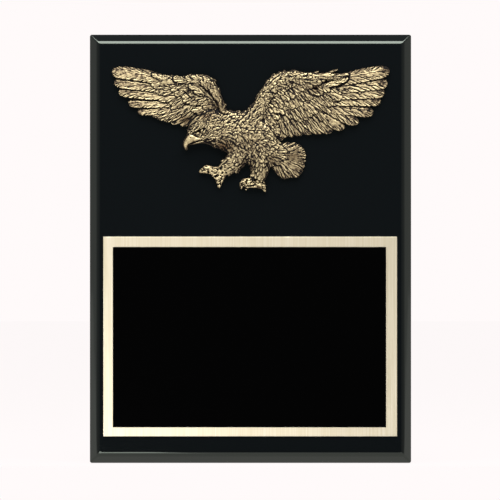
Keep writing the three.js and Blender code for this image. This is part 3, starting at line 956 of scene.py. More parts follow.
@dataclass(frozen=True)
class Limb:
    """A domed form along a curve, with its half-width and height at evenly spread places."""

    path: Points
    half_width: Values
    height: Values
    rim: float = 0.9
    bare: float = 0.0
    blunt: float = 2.5
    samples: int = 40

    def point(self, t: float) -> np.ndarray:
        """A point on the limb's middle line."""
        return on_curve(self.path, t)

    def direction(self, t: float) -> np.ndarray:
        """The way the limb runs at a place."""
        step = self.point(min(1.0, t + 0.01)) - self.point(max(0.0, t - 0.01))
        return step / np.hypot(*step)

    def lay(self, relief: Relief) -> None:
        """Lays the limb on the sheet.

        Args:
            relief: the sheet.
        """
        places = np.linspace(0, 1, self.samples + 1)
        middle = np.array([self.point(t) for t in places])
        width = along(self.half_width, places)
        rise = along(self.height, places)
        margin = width.max() + 1
        cut, x, y = relief.window(middle.min(0) - margin, middle.max(0) + margin)
        reach = np.full(np.broadcast(x, y).shape, FAR_OUT)
        height = np.zeros_like(reach)
        way_x = np.zeros_like(reach)
        way_y = np.zeros_like(reach)
        for i in range(self.samples):
            run = middle[i + 1] - middle[i]
            length = np.hypot(*run)
            forward = ((x - middle[i][0]) * run[0] + (y - middle[i][1]) * run[1]) / length
            sideways = ((y - middle[i][1]) * run[0] - (x - middle[i][0]) * run[1]) / length
            before = np.maximum(-forward, 0) * (self.blunt if i == 0 else 1)
            after = np.maximum(forward - length, 0) * (self.blunt if i == self.samples - 1 else 1)
            share = np.clip(forward / length, 0, 1)
            here_width = width[i] + (width[i + 1] - width[i]) * share
            here_rise = rise[i] + (rise[i + 1] - rise[i]) * share
            out = np.hypot(sideways, before + after)
            dome = np.sqrt(1 - np.clip(out / here_width, 0, 1) ** 2)
            better = here_width - out > reach
            reach = np.where(better, here_width - out, reach)
            height = np.where(better, self.rim + (here_rise - self.rim) * dome, height)
            way_x = np.where(better, run[0] / length, way_x)
            way_y = np.where(better, run[1] / length, way_y)
        relief.lay(cut, reach, height, (way_x, way_y), bare=self.bare)


@dataclass(frozen=True)
class Feather:
    """One feather: a leaf with a shaft and barbs, drawn from its root to its tip."""

    root: np.ndarray
    tip: np.ndarray
    half_width: float
    bow: float
    lift: tuple[float, float]
    shingle: float
    barbing: Barbing
    seed: int
    pointed: float = 6.0
    sleek: float = 0.0
    old_tip: float = 0.0
    shaft_width: float = 0.33
    furrow_out: float = 0.62
    furrow_width: float = 0.28
    kinds: int = 64

    def grooves(self, forward: np.ndarray, side: np.ndarray, edge: np.ndarray) -> np.ndarray:
        """Works out the gaps between barbs, which start and stop unevenly.

        Args:
            forward: how far along the feather each place is, in millimetres.
            side: how far to the left of the shaft.
            edge: how far the outline is from the shaft there.

        Returns:
            0 on the barbs, and 1 or more in the middle of a gap.
        """
        # Each side of the shaft draws its own kinds of gap, which differ in place, depth, length and width.
        draws = 2 * self.kinds
        rng = np.random.default_rng(self.seed)
        stray = (rng.random(draws) - 0.5) * 0.6
        deep = 0.35 + 1.35 * rng.random(draws) ** 1.4
        nearest, farthest = self.barbing.starts
        start = nearest + rng.random(draws) * (farthest - nearest)
        stop = 0.75 + rng.random(draws) * 0.6
        fine = self.barbing.gap * (0.75 + 0.5 * rng.random(draws))
        # A gap curves away from the shaft, so its angle opens from the inner to the outer one.
        inner = 1 / math.tan(math.radians(self.barbing.inner))
        outer = 1 / math.tan(math.radians(self.barbing.outer))
        wide = self.half_width * (1 + self.barbing.lean)
        share = np.clip(np.abs(side) / wide, 0, 1.3)
        swept = wide * (inner * share + (outer - inner) * share**2 / 2)
        spread = self.barbing.pitch * math.hypot(1, outer)
        place = (forward - swept) / spread
        number = np.floor(place + 0.5).astype(int)
        index = number % self.kinds + np.where(side > 0, 0, self.kinds)
        away = (place - number - stray[index]) * spread / np.hypot(1, inner + (outer - inner) * share)
        # It fades in past its start, fades out past its stop, and is shallower in the half that lies lower.
        out = np.abs(side) / np.maximum(edge, 0.1)
        shown = soft_step((out - start[index]) / 0.2 + 0.5) * soft_step((stop[index] - out) / 0.15 + 0.5)
        shown = shown * np.where(side * self.shingle < 0, self.barbing.under, 1.0)
        return np.exp(-((away / fine[index]) ** 2)) * deep[index] * shown

    def lay(self, relief: Relief, ground: np.ndarray | None = None) -> None:
        """Lays the feather on the sheet.

        Args:
            relief: the sheet.
            ground: heights that lift is counted from, or None for the casting's back.
        """
        carve = self.barbing
        chord = self.tip - self.root
        length = float(np.hypot(*chord))
        margin = self.half_width + abs(self.bow) + 0.6
        corners = np.array((self.root, self.tip))
        cut, x, y = relief.window(corners.min(0) - margin, corners.max(0) + margin)
        # t goes from 0 at the root to 1 at the tip, and side is how far left of the bowed middle a place is.
        from_x, from_y = x - self.root[0], y - self.root[1]
        t = (from_x * chord[0] + from_y * chord[1]) / length**2
        side = (from_y * chord[0] - from_x * chord[1]) / length
        side = side - self.bow * 4 * t * (1 - t)
        # The outline starts at three quarters of its width, is full at the middle and closes at the tip.
        quill = 0.75 + 0.25 * soft_step(t / 0.5)
        vane = np.sqrt(np.maximum(0, 1 - (np.abs(t - 0.5) / 0.5) ** self.pointed))
        edge = self.half_width * np.where(t < 0.5, quill, vane)
        past_ends = (np.maximum(t - 1, 0) + np.maximum(-t, 0)) * length
        # The shaft lies off the middle, towards the half that lies lower, and wavers on large feathers.
        facing = 1.0 if self.shingle >= 0 else -1.0
        waver = 0.2 * np.sin(t * length + self.seed % 6) * (self.half_width > 1.6)
        from_shaft = side + facing * carve.lean * edge + waver
        shaft_edge = edge * (1 + carve.lean * np.where(from_shaft * facing > 0, 1, -1))
        gaps = self.grooves(t * length, from_shaft, shaft_edge)
        # The gaps run out into notches of the outline, less deep on small feathers.
        out = np.abs(side) / np.maximum(edge, 0.1)
        notch = carve.notch * min(1.0, self.half_width / 2.5) * gaps * soft_step((out - 0.5) / 0.5)
        reach = edge - np.abs(side) - 2 * past_ends - notch
        # The feather is lifted and tilted, cambered, rolled off at its outline, and has a shaft with furrows.
        share = np.clip(side / self.half_width, -1, 1)
        height = self.lift[0] + (self.lift[1] - self.lift[0]) * t + self.shingle * share
        height = height + carve.camber * (1 - share**2)
        height = height - carve.roll * (1 - soft_step(reach / carve.roll_width))
        ridge = np.exp(-((from_shaft / self.shaft_width) ** 2))
        furrows = np.exp(-(((np.abs(from_shaft) - self.furrow_out) / self.furrow_width) ** 2))
        height = height + carve.shaft * (ridge - 0.7 * furrows) * soft_step((0.93 - t) / 0.2)
        height = height - carve.depth * gaps
        # The root sinks in, so that it doesn't end in a step.
        height = height - 1.5 * (1 - soft_step(t / 0.06 + 0.3))
        if ground is not None:
            height = height + ground[cut]
        # Patina is left on the last 8 mm, on some feathers more than on others, in gaps and along the outline.
        old = self.old_tip * soft_step((t * length - length + 8) / 5) * (0.5 + 0.5 * (self.seed % 7) / 6)
        worn = carve.edge * (1 - soft_step(reach / 0.55))
        dark = np.clip(np.maximum(gaps, worn), 0, 1)
        spread = np.clip(np.abs(from_shaft) / self.half_width, 0, 1)
        turn = np.sign(from_shaft) * np.radians(carve.inner + (carve.outer - carve.inner) * spread)
        ahead_x, ahead_y = chord / length
        cos, sin = np.cos(turn), np.sin(turn)
        way = (ahead_x * cos - ahead_y * sin, ahead_x * sin + ahead_y * cos)
        relief.lay(cut, reach, height, way, dark=dark, bare=self.sleek, old=old)


@dataclass(frozen=True)
class Row:
    """A row of feathers. Its roots and tips lie on two curves, and count of them are spread evenly.

    half_width and bow go from the first feather to the last, and lift from a feather's root to its tip. stray
    is how unevenly the tips lie, pointed goes from the most pointed tip to the bluntest, and old_tip is how
    much patina stays on the tips.
    """

    plumage: Plumage
    count: int
    roots: Points
    tips: Points
    half_width: tuple[float, float]
    bow: tuple[float, float]
    lift: tuple[float, float]
    shingle: float
    stray: float = 0.0
    pointed: tuple[float, float] = (5.0, 6.0)
    old_tip: float = 0.0
    sleek: float = 0.35

    def lay(self, relief: Relief, seed: int) -> None:
        """Lays the row's feathers on the sheet.

        Args:
            relief: the sheet.
            seed: which uneven numbers the row draws.
        """
        rng = np.random.default_rng(seed)
        for i in range(self.count):
            t = i / (self.count - 1)
            root = on_curve(self.roots, t)
            tip = on_curve(self.tips, t)
            forward = (tip - root) / np.hypot(*(tip - root))
            sideways = to_left(forward)
            longer, aside = (rng.random(2) - 0.5) * self.stray
            up = (rng.random() - 0.5) * (0.15 + 0.07 * self.stray)
            wide = 1.03 + 0.14 * (rng.random() - 0.5) * self.stray
            Feather(
                root=root + sideways * 0.4 * aside,
                tip=tip + forward * longer + sideways * 0.35 * aside,
                half_width=along(self.half_width, t) * wide,
                bow=along(self.bow, t) + 0.2 * (rng.random() - 0.5) * self.stray,
                lift=(self.lift[0] + up, self.lift[1] + up),
                shingle=self.shingle,
                barbing=BARBING[self.plumage],
                seed=seed * 100 + i,
                pointed=self.pointed[0] + (self.pointed[1] - self.pointed[0]) * rng.random(),
                sleek=self.sleek,
                old_tip=self.old_tip,
            ).lay(relief)


@dataclass(frozen=True)
class Coat:
    """Small overlapping feathers over a limb, in staggered rows.

    turn is added to the limb's own direction, in radians, sweep is how far the feathers turn with the limb's
    sides, and unruly how far they stray. upper_turn is a further turn, from the limb's start to its end, of
    the feathers on its left.
    """

    limb: Limb
    start: float
    end: float
    pitch: Values
    half_width: Values
    length: Values
    turn: float = 0.0
    sweep: float = 0.2
    upper_turn: Values = (0.0, 0.0)
    unruly: float = 0.4
    pointed: float = 6.0
    rise: float = 0.4
    plumage: Plumage = Plumage.SCALE
    sleek: float = 0.0

    def lay(self, relief: Relief, ground: np.ndarray, flow: np.ndarray, seed: int) -> None:
        """Lays the coat on the sheet.

        Args:
            relief: the sheet.
            ground: the heights that the feathers lie on.
            flow: a slow noise that turns them.
            seed: which uneven numbers the coat draws.
        """
        rng = np.random.default_rng(seed)
        places = np.linspace(0, 1, 101)
        middle = np.array([self.limb.point(t) for t in places])
        run = np.concatenate([[0], np.cumsum(np.hypot(*np.diff(middle, axis=0).T))])
        distance = self.start * run[-1]
        number = 0
        while distance < self.end * run[-1]:
            t = float(np.interp(distance, run, places))
            self.lay_row(relief, ground, flow, rng, t, number)
            distance += along(self.pitch, t) * (0.85 + 0.3 * rng.random())
            number += 1

    def lay_row(
        self, relief: Relief, ground: np.ndarray, flow: np.ndarray, rng: np.random.Generator,
        t: float, number: int,
    ) -> None:
        """Lays one row of the coat across the limb.

        Args:
            relief: the sheet.
            ground: the heights that the feathers lie on.
            flow: a slow noise that turns them.
            rng: the coat's uneven numbers.
            t: the row's place along the limb.
            number: which row it is, so that odd ones are staggered.
        """
        forward = self.limb.direction(t)
        sideways = to_left(forward)
        width = float(along(self.limb.half_width, t))
        half_width = float(along(self.half_width, t))
        length = float(along(self.length, t))
        # Neighbours overlap by a tenth, odd rows are set half a place over, and every place strays a little.
        count = max(2, round(width / (half_width * 0.9)))
        for k in range(count):
            side = ((k + 0.5 + 0.5 * (number % 2) + 0.7 * (rng.random() - 0.5)) / count * 2 - 1) * 0.98
            root = self.limb.point(t) + sideways * width * side + (rng.random(2) - 0.5) * 1.2
            i = int(np.clip((root[0] - relief.left) / relief.step, 0, relief.columns - 1))
            j = int(np.clip((root[1] - relief.bottom) / relief.step, 0, relief.rows - 1))
            turn = self.turn + self.unruly * (rng.random() - 0.5 + 0.4 * flow[j, i]) + self.sweep * side
            turn += along(self.upper_turn, t) * float(soft_step((side + 0.3) / 0.6))
            size = 0.75 + 0.5 * rng.random()
            up = (rng.random() - 0.5) * 0.5
            cos, sin = math.cos(turn), math.sin(turn)
            way = np.array((cos * forward[0] - sin * forward[1], sin * forward[0] + cos * forward[1]))
            slim = 0.8 + 0.4 * rng.random()
            # A feather past the limb's side is left out.
            if abs(side) > 0.99:
                continue
            Feather(
                root=root - way * length * 0.45 * size,
                tip=root + way * length * 0.55 * size,
                half_width=half_width * size * slim,
                bow=0.0,
                lift=(up - 0.5, up + self.rise),
                shingle=(rng.random() - 0.5) * 0.45,
                barbing=BARBING[self.plumage],
                seed=int(rng.integers(1 << 30)),
                pointed=self.pointed,
                sleek=self.sleek,
            ).lay(relief, ground)


BODY_FORM = Limb(
    ((-40.5, -3.8), (-35.5, -1.8), (-28.5, -0.5), (-20, -1.5), (-10, -4), (-0.5, -8), (9, -15.5),
     (19, -19.5)),
    (3.6, 8, 11.2, 13.2, 15.2, 17.2, 12.5, 6), (5.6, 6.6, 7.2, 7.6, 7.9, 7.8, 6.4, 4.6), rim=3.2)
NEAR_ARM = Limb(
    ((-4, -2), (7, 14.5), (12.5, 25), (18.5, 31.5), (27, 35), (38, 35.3), (52, 34)),
    (9, 5, 5, 5.8, 5, 3.6, 2.4), (7, 6, 5.6, 5.6, 5.4, 4.8, 3.4), rim=3.4)
FAR_ARM = Limb(
    ((-18, 0), (-20.4, 13), (-24.8, 23), (-30.5, 31.5), (-38, 33.5), (-50, 33), (-64, 33)),
    (5.5, 2.9, 3.4, 4.7, 4, 3, 2.2), (5.4, 5.2, 5.4, 5.4, 5, 4.4, 3.4), rim=3.4)
NEAR_WEB = Limb(((3, 4), (24, 13), (45, 20), (62, 28)), (9, 10, 11, 7), (1.3,))
FAR_WEB = Limb(((-22, 6), (-34, 18), (-50, 24), (-66, 28)), (3, 8.5, 9.5, 6.5), (1.3,))
NEAR_THIGH = Limb(
    ((4.5, -14), (6.8, -22), (6.6, -29.5), (5.2, -35.5), (4.6, -38.5)),
    (8, 7.6, 6.4, 5, 4), (7.8, 7, 6, 5, 4.2), rim=2.8)
FAR_THIGH = Limb(
    ((-3, -14), (-10.5, -23), (-15.5, -27.3), (-20, -30.6)),
    (8.5, 6.9, 5.4, 3.8), (6.6, 6, 5.2, 4.4), rim=2.8)
NEAR_BED = Limb(((8, 17), (15, 25), (23, 30), (34, 32), (46, 31)), (4, 5, 5, 4, 3), (4.6, 4.8, 4.6, 4.2, 3.4))
FAR_BED = Limb(
    ((-24, 13), (-29, 22), (-35, 28), (-45, 30), (-58, 30)), (3.5, 4.5, 4.5, 4, 3), (4.2, 4.4, 4.4, 4, 3.2))
NEAR_SHOULDER = Limb(((9, 14), (13, 6), (19, -4)), (4.2, 5.2, 4), (4, 4.2, 3.2))
NEAR_FILL = Limb(((26, 18), (20, 14), (15, 6), (18, -2)), (5, 5, 4, 3), (2.7,))
FAR_SHOULDER = Limb(((-24, 6), (-29, 13), (-34, 20)), (3.5, 4.5, 3.5), (3.2, 3.4, 3.6))
LIMBS = (NEAR_WEB, FAR_WEB, BODY_FORM, NEAR_ARM, FAR_ARM, NEAR_THIGH, FAR_THIGH, NEAR_SHOULDER, FAR_SHOULDER,
         NEAR_FILL, NEAR_BED, FAR_BED)
TOES = (
    Limb(((-19, -30.2), (-26, -30.7), (-31, -29.6), (-36.2, -31.5)), (3.4, 2.7, 2.9, 0.4), (4.4, 3.6, 3.8, 2),
         rim=2),
    Limb(((-19.5, -30.5), (-21.8, -36.5), (-22.4, -42.5)), (3.6, 2.8, 0.5), (4.4, 3.8, 2), rim=2),
    Limb(((4, -38.9), (-2.6, -39), (-5.9, -39.8), (-6.7, -43.3)), (2.9, 2.7, 1.6, 0.4), (4.4, 4, 3.4, 2),
         rim=2),
    Limb(((4, -39.4), (-1.2, -41), (-3.4, -44)), (2.8, 1.6, 0.4), (4.6, 3.8, 2), rim=2),
    Limb(((2, -39.2), (7.4, -39.8), (10.4, -45.2)), (3, 2.5, 0.5), (4.6, 4.2, 2), rim=2),
    Limb(((-25.6, -32.2), (-23.2, -34.8)), (2.5, 2.7), (3.9, 3.9), rim=2),
    Limb(((-4.4, -38.9), (0, -39.1), (5, -39.4), (8, -40.6)), (2.6, 3.4, 3.4, 2.6), (4.2, 4.6, 4.6, 4.2),
         rim=2),
)
SKULL = Limb(
    ((-43.0, -2.4), (-40.3, -2.6), (-37, -1.9), (-32.6, -0.6), (-26.4, 1)), (1.4, 4.1, 7.3, 9.9, 11.5),
    (6.2, 7, 7.5, 7.9, 7.6), rim=3.2)
CHEEK = Limb(
    ((-41, -7.6), (-36, -7.6), (-30, -6.5), (-23, -6)), (2.2, 3.2, 4.6, 5), (6.4, 7, 7.6, 7), rim=3.2)
CERE = Limb(((-42.6, -3.2), (-42.6, -5), (-42, -7)), (1.5, 2.3, 3), (6.2, 6.8, 7), rim=4)
BROW = Limb(
    ((-39.5, -2.4), (-37.2, -1.2), (-34, -0.1), (-32, 0.3)), (0.3, 0.6, 0.6, 0.3), (7.4, 7.8, 7.9, 7.6),
    rim=7, bare=0.1)
BEAK = Limb(
    ((-35.9, -8.1), (-39.2, -8.1), (-41.6, -7.4), (-44, -9.3), (-45.7, -11.6), (-45.9, -13.6),
     (-45.4, -15.6)),
    (0.9, 2.1, 3.5, 2.9, 2.1, 1.3, 0.5), (7.2, 7.4, 7.6, 7.4, 6.8, 6.0, 4.6), rim=4.8, bare=1.0)
LOWER_BILL = Limb(
    ((-33.5, -9.4), (-38, -10.4), (-42.5, -11.7)), (1.3, 1.0, 0.5), (6.4, 5.8, 5.0), rim=4, bare=1.0)

BLUNT = (3.0, 5.0)
SHARP = (2.4, 4.0)
ROWS = (
    Row(Plumage.PRIMARY, 5, ((54, 31), (51, 25), (48, 20), (44.5, 14)),
        ((98.7, 40.5), (97.2, 31.6), (95, 25), (92.3, 19.1), (87, 10.6)),
        (4.7, 4.4), (0.6, 1.4), (2.4, 1.9), -0.75, pointed=(7, 9), old_tip=0.85, sleek=0.6),
    Row(Plumage.SECONDARY, 9, ((48.5, 18.5), (37.5, 12.5), (29.5, 8.5), (21.5, 6.5), (14, 3)),
        ((76.8, 2.8), (65.4, -1.5), (55.5, -3.3), (47.7, -3.8), (39.5, -4.9), (31.9, -5.8), (26, -6.8),
         (22.6, -9.2)), (4.4, 3), (-0.6, -0.6), (2.6, 2.3), -0.65, 1.2, BLUNT, 0.5, 0.45),
    Row(Plumage.COVERT, 15, ((48, 31), (41.5, 26.5), (37.5, 21.5), (31, 17), (22.5, 13.5), (14, 9)),
        ((67, 24), (62, 19), (57.5, 13.2), (53.5, 10.2), (43.5, 8.3), (35.8, 6), (25.3, 4.2), (19, 1.5)),
        (3, 2.4), (-0.3, -0.3), (2.9, 3.1), -0.5, 4.5, SHARP),
    Row(Plumage.COVERT, 13, ((40, 34), (33, 28.5), (28, 25), (20, 19), (9, 11)),
        ((55, 26), (45, 22.7), (39.5, 18.5), (33, 15), (26, 10.5), (17, 4.5)),
        (2.5, 2.1), (-0.2, -0.2), (3.3, 3.8), -0.4, 4, SHARP),
    Row(Plumage.COVERT, 12, ((31, 35), (26, 32), (20, 28), (14, 22.5), (6, 13)),
        ((43, 29), (35, 25), (28.5, 21), (22, 16.5), (13.5, 8.5)),
        (2.2, 2), (0, 0), (3.6, 4.2), -0.35, 3.6, SHARP),
    Row(Plumage.COVERT, 10, ((24, 36), (20, 33), (15, 28), (10, 21), (4, 11)),
        ((33, 31.5), (27.5, 27.5), (21.5, 22.5), (16, 16.5), (10, 8)),
        (2, 1.8), (0, 0), (3.9, 4.6), -0.3, 3, SHARP),
    Row(Plumage.COVERT, 7, ((21, 24), (16, 19), (10.5, 12), (7, 6)),
        ((27.5, 18.5), (23.5, 13.5), (18, 7.5), (13.5, 2)),
        (2.1, 1.9), (0, 0), (3.6, 4.1), -0.3, 2.5, SHARP),
    Row(Plumage.LOBE, 5, ((54, 34.5), (49, 35.5), (42, 36), (36, 36)),
        ((69, 37.8), (63, 36.6), (58, 37), (51, 36)), (1.9, 2.2), (0.3, 0.2), (3.3, 3.5), -0.3, 2.5, SHARP),
    Row(Plumage.PRIMARY, 5, ((-56, 32.5), (-56, 26.5), (-56, 21.5), (-56.5, 17), (-47.5, 15)),
        ((-98.2, 39.8), (-96.5, 32.4), (-93.5, 25.5), (-86.7, 17.7), (-79.9, 11.1)),
        (4.4, 2.9), (-1, 0.4), (2.4, 1.9), 0.85, pointed=(7, 9), old_tip=0.35, sleek=0.8),
    Row(Plumage.SECONDARY, 5, ((-47, 15.5), (-43, 15), (-40, 13.5), (-35, 12)),
        ((-70, 8.6), (-64.7, 6.2), (-58.5, 4), (-49.3, 1.6)),
        (3.2, 2.7), (0.4, 0.2), (2.6, 2.3), 0.65, 1.2, BLUNT, 0.2, 0.45),
    Row(Plumage.COVERT, 9, ((-50, 32), (-46, 27.5), (-41.5, 23.5), (-33, 17)),
        ((-76, 34.5), (-70.7, 29.5), (-67.2, 23.4), (-60.4, 16.6), (-52.6, 12.4), (-44, 8)),
        (3.2, 2.3), (0.3, 0.3), (2.9, 3), 0.5, 6, SHARP),
    Row(Plumage.COVERT, 9, ((-40, 33), (-36, 27.5), (-31.5, 21), (-26, 14)),
        ((-60, 31), (-54.5, 26), (-49.5, 21), (-44, 15.5), (-37.5, 10)),
        (2.5, 2.1), (0.2, 0.2), (3.3, 3.8), 0.4, 4, SHARP),
    Row(Plumage.COVERT, 8, ((-32, 33), (-29, 27.5), (-25.5, 21), (-22, 13)),
        ((-46, 30), (-41.5, 24), (-37.5, 18), (-32, 11)),
        (2, 1.8), (0.2, 0.2), (3.7, 4.3), 0.3, 3, SHARP),
    Row(Plumage.LOBE, 5, ((-50, 33), (-56, 33.5), (-62, 34)), ((-57, 36.6), (-63, 36.9), (-69.5, 37.4)),
        (1.8, 1.6), (0, 0), (3.2, 3.3), 0.3, 1.5, SHARP),
    Row(Plumage.TAIL, 15, ((19, -17.6), (19.6, -18.6), (19, -20), (17.5, -21.5), (15.5, -21)),
        ((25.4, -12.8), (32.5, -12.4), (37.9, -15.5), (39.3, -21), (38.2, -28), (35, -34), (29.3, -34.8),
         (24.6, -35.8), (20.2, -31.6)), (3.4, 2.7), (0, 0), (4.4, 2.2), -0.25, 0.3, (5.5, 6.5), 0.5),
)
TOP_ROWS = (
    Row(Plumage.LOBE, 2, ((50, 29), (37.3, 33)), ((69.2, 34.9), (50.4, 31.8)),
        (1.9, 2.7), (-0.6, 0.5), (3.6, 4.9), -0.2, 0, BLUNT, sleek=0),
    Row(Plumage.PLUME, 2, ((39, 37), (50, 37)), ((48.5, 39.8), (62, 41.2)),
        (0.7, 0.7), (-0.3, 0), (3, 2.2), 0),
    Row(Plumage.LOBE, 4, ((-45, 32.6), (-37, 31.6), (-35.6, 26.8), (-32.4, 23.2)),
        ((-54.6, 35.2), (-46, 36.2), (-44, 30.2), (-39.8, 26.4)),
        (2.4, 2.2), (0, 0), (4.8, 5.4), 0.2, 0.8, BLUNT, sleek=0),
    Row(Plumage.LOBE, 8, ((15, -12), (17.5, -15), (18, -19.5), (15.5, -24)),
        ((21.5, -11.8), (24.5, -15.5), (25, -20.5), (21.5, -27)),
        (1.7, 1.6), (0, 0), (5.3, 4.2), -0.2, 4.5, BLUNT, sleek=0),
)
COATS = (
    Coat(FAR_SHOULDER, 0.0, 1.0, (1.7,), (0.95,), (3.8,), turn=1.5, unruly=0.7, rise=0.5),
    Coat(NEAR_SHOULDER, 0.0, 1.0, (2.2,), (1.3,), (4.8,), turn=0.35, unruly=0.7, rise=0.5),
    Coat(FAR_BED, 0.0, 0.8, (2.1,), (1.2,), (4.4,), turn=0.6),
    Coat(NEAR_BED, 0.0, 0.8, (2.1,), (1.2,), (4.4,), turn=-0.9),
    Coat(NEAR_ARM, 0.05, 0.86, (2.0,), (1.15,), (4,), unruly=0.8),
    Coat(FAR_ARM, 0.1, 0.8, (2.0,), (1.1,), (3.8,), unruly=0.8),
    Coat(BODY_FORM, 0.0, 0.99, (1.7, 1.8, 2.0, 2.4, 2.7, 2.8, 2.7), (0.7, 0.7, 0.8, 1.05, 1.3, 1.4, 1.3),
         (3, 3.8, 4.4, 4.4, 4.6, 4.8, 4.6), upper_turn=(0.4, 0.6, 0.9, 1.3, 1.3, 0.8, 0.2, 0), unruly=1.1),
    Coat(BODY_FORM, 0.35, 0.95, (3.0,), (1.1,), (4.4,), upper_turn=(0.6, 1.3, 0.6, 0), unruly=1.2),
    Coat(CERE, 0.0, 1.0, (1.1,), (0.5,), (2,), turn=-1.3, unruly=0.9),
    Coat(SKULL, 0.0, 0.75, (1.4,), (0.6, 0.7), (2.4, 3), turn=0.2, unruly=0.9),
    Coat(FAR_THIGH, 0.05, 0.9, (2.9,), (1.8, 1.5), (5.6, 4.6), sweep=0.3, unruly=0.9, pointed=2.4, rise=0.7,
         plumage=Plumage.LEAF, sleek=0.6),
    Coat(NEAR_THIGH, 0.05, 0.93, (3.2,), (2.0, 1.7), (6.2, 5), sweep=0.5, unruly=0.8, pointed=2.4, rise=0.8,
         plumage=Plumage.LEAF, sleek=0.6),
)

# Curves along which folds are cut, with the width and depth of each.
FOLDS = (
    (((-32, 24.5), (-29.3, 21), (-26.8, 16.5), (-24.8, 12.5)), 3.4, 0.9),
    (((-35.6, 30), (-31.7, 26.6), (-28.1, 22.7), (-24.9, 18), (-22.6, 12.9)), 1.3, 1.4),
    (((-47.7, 26.1), (-44.6, 23.4), (-41.8, 20.6)), 1.1, 1.0),
    (((-22.5, 11.5), (-19, 9.4), (-15.5, 9.5)), 1.2, 1.0),
)
# Hollows are a middle, half a length, half a height and a depth, which is less than nothing for a bump.
WRIST_DENT = (46.2, 27.7, 2.2, 1.2, 1.6)
EYE_HOLLOW = (-35.9, -2.7, 2.3, 1.2, 1.5)
EYE = (-34.5, -2.6, 1.1, 1.3, -3.0)
NOSTRIL = (-42.6, -7.4, 0.6, 0.4, 0.7)
BROW_FOLD = (((-38.8, -3.5), (-36.8, -2.4), (-34.8, -1.3), (-32.8, -0.7)), 1.3, 1.4)
CERE_LINE = (((-44.3, -4.1), (-42, -4.8), (-39.5, -6), (-36.6, -6.8), (-33.4, -7.6)), 0.7, 0.35)
MOUTH = (((-43.8, -12.2), (-41, -11), (-37.5, -10), (-34.5, -9.2), (-31.5, -9.8)), 0.7, 0.9)
# Ovals of browner patina: a middle, half a length, half a height and how brown.
STAINS = (
    (-31.7, 8.5, 9, 4, 0.8),
    (-35.6, -2.9, 2.4, 1.3, 0.4),
    (-18.9, -13.6, 9, 6, 0.9),
    (-25.2, 14.2, 10, 9, 0.6),
    (-45.2, 5.6, 8, 4.5, 0.8),
    (-1.8, -27, 6, 6, 0.7),
    (15.3, -22.8, 5, 5, 0.6),
    (46.2, 27.7, 4, 3, 0.9),
    (30.2, -19.8, 6, 5, 0.6),
    (0, -12, 12, 8, 0.35),
)
# How far around a ridge is compared, the least and the most it counts, and how strongly rubbing bares it.
RIDGES = ((0.6, -0.25, 0.25, 1.2), (1.0, -0.5, 0.4, 0.5), (2.6, -1.5, 1.0, 0.1))
# Patina and painted shade in hollows beside taller neighbours: how many steps around a hollow is compared,
# from what drop it darkens, and over what further drop.
HOLLOW_PATINA_AND_SHADE = ((2.5, 0.35, 0.4), (4.5, 0.9, 0.6))


class Seed:
    """Which uneven numbers each job draws. Rows and coats count on from theirs."""

    PITS = 4
    UNEVEN = 5
    SPECKLE = 6
    BARE = 7
    ROWS = 10
    FLOW = 11
    SPLITS = 21
    DENTS = 31
    COATS = 40
    TOP_ROWS = 60


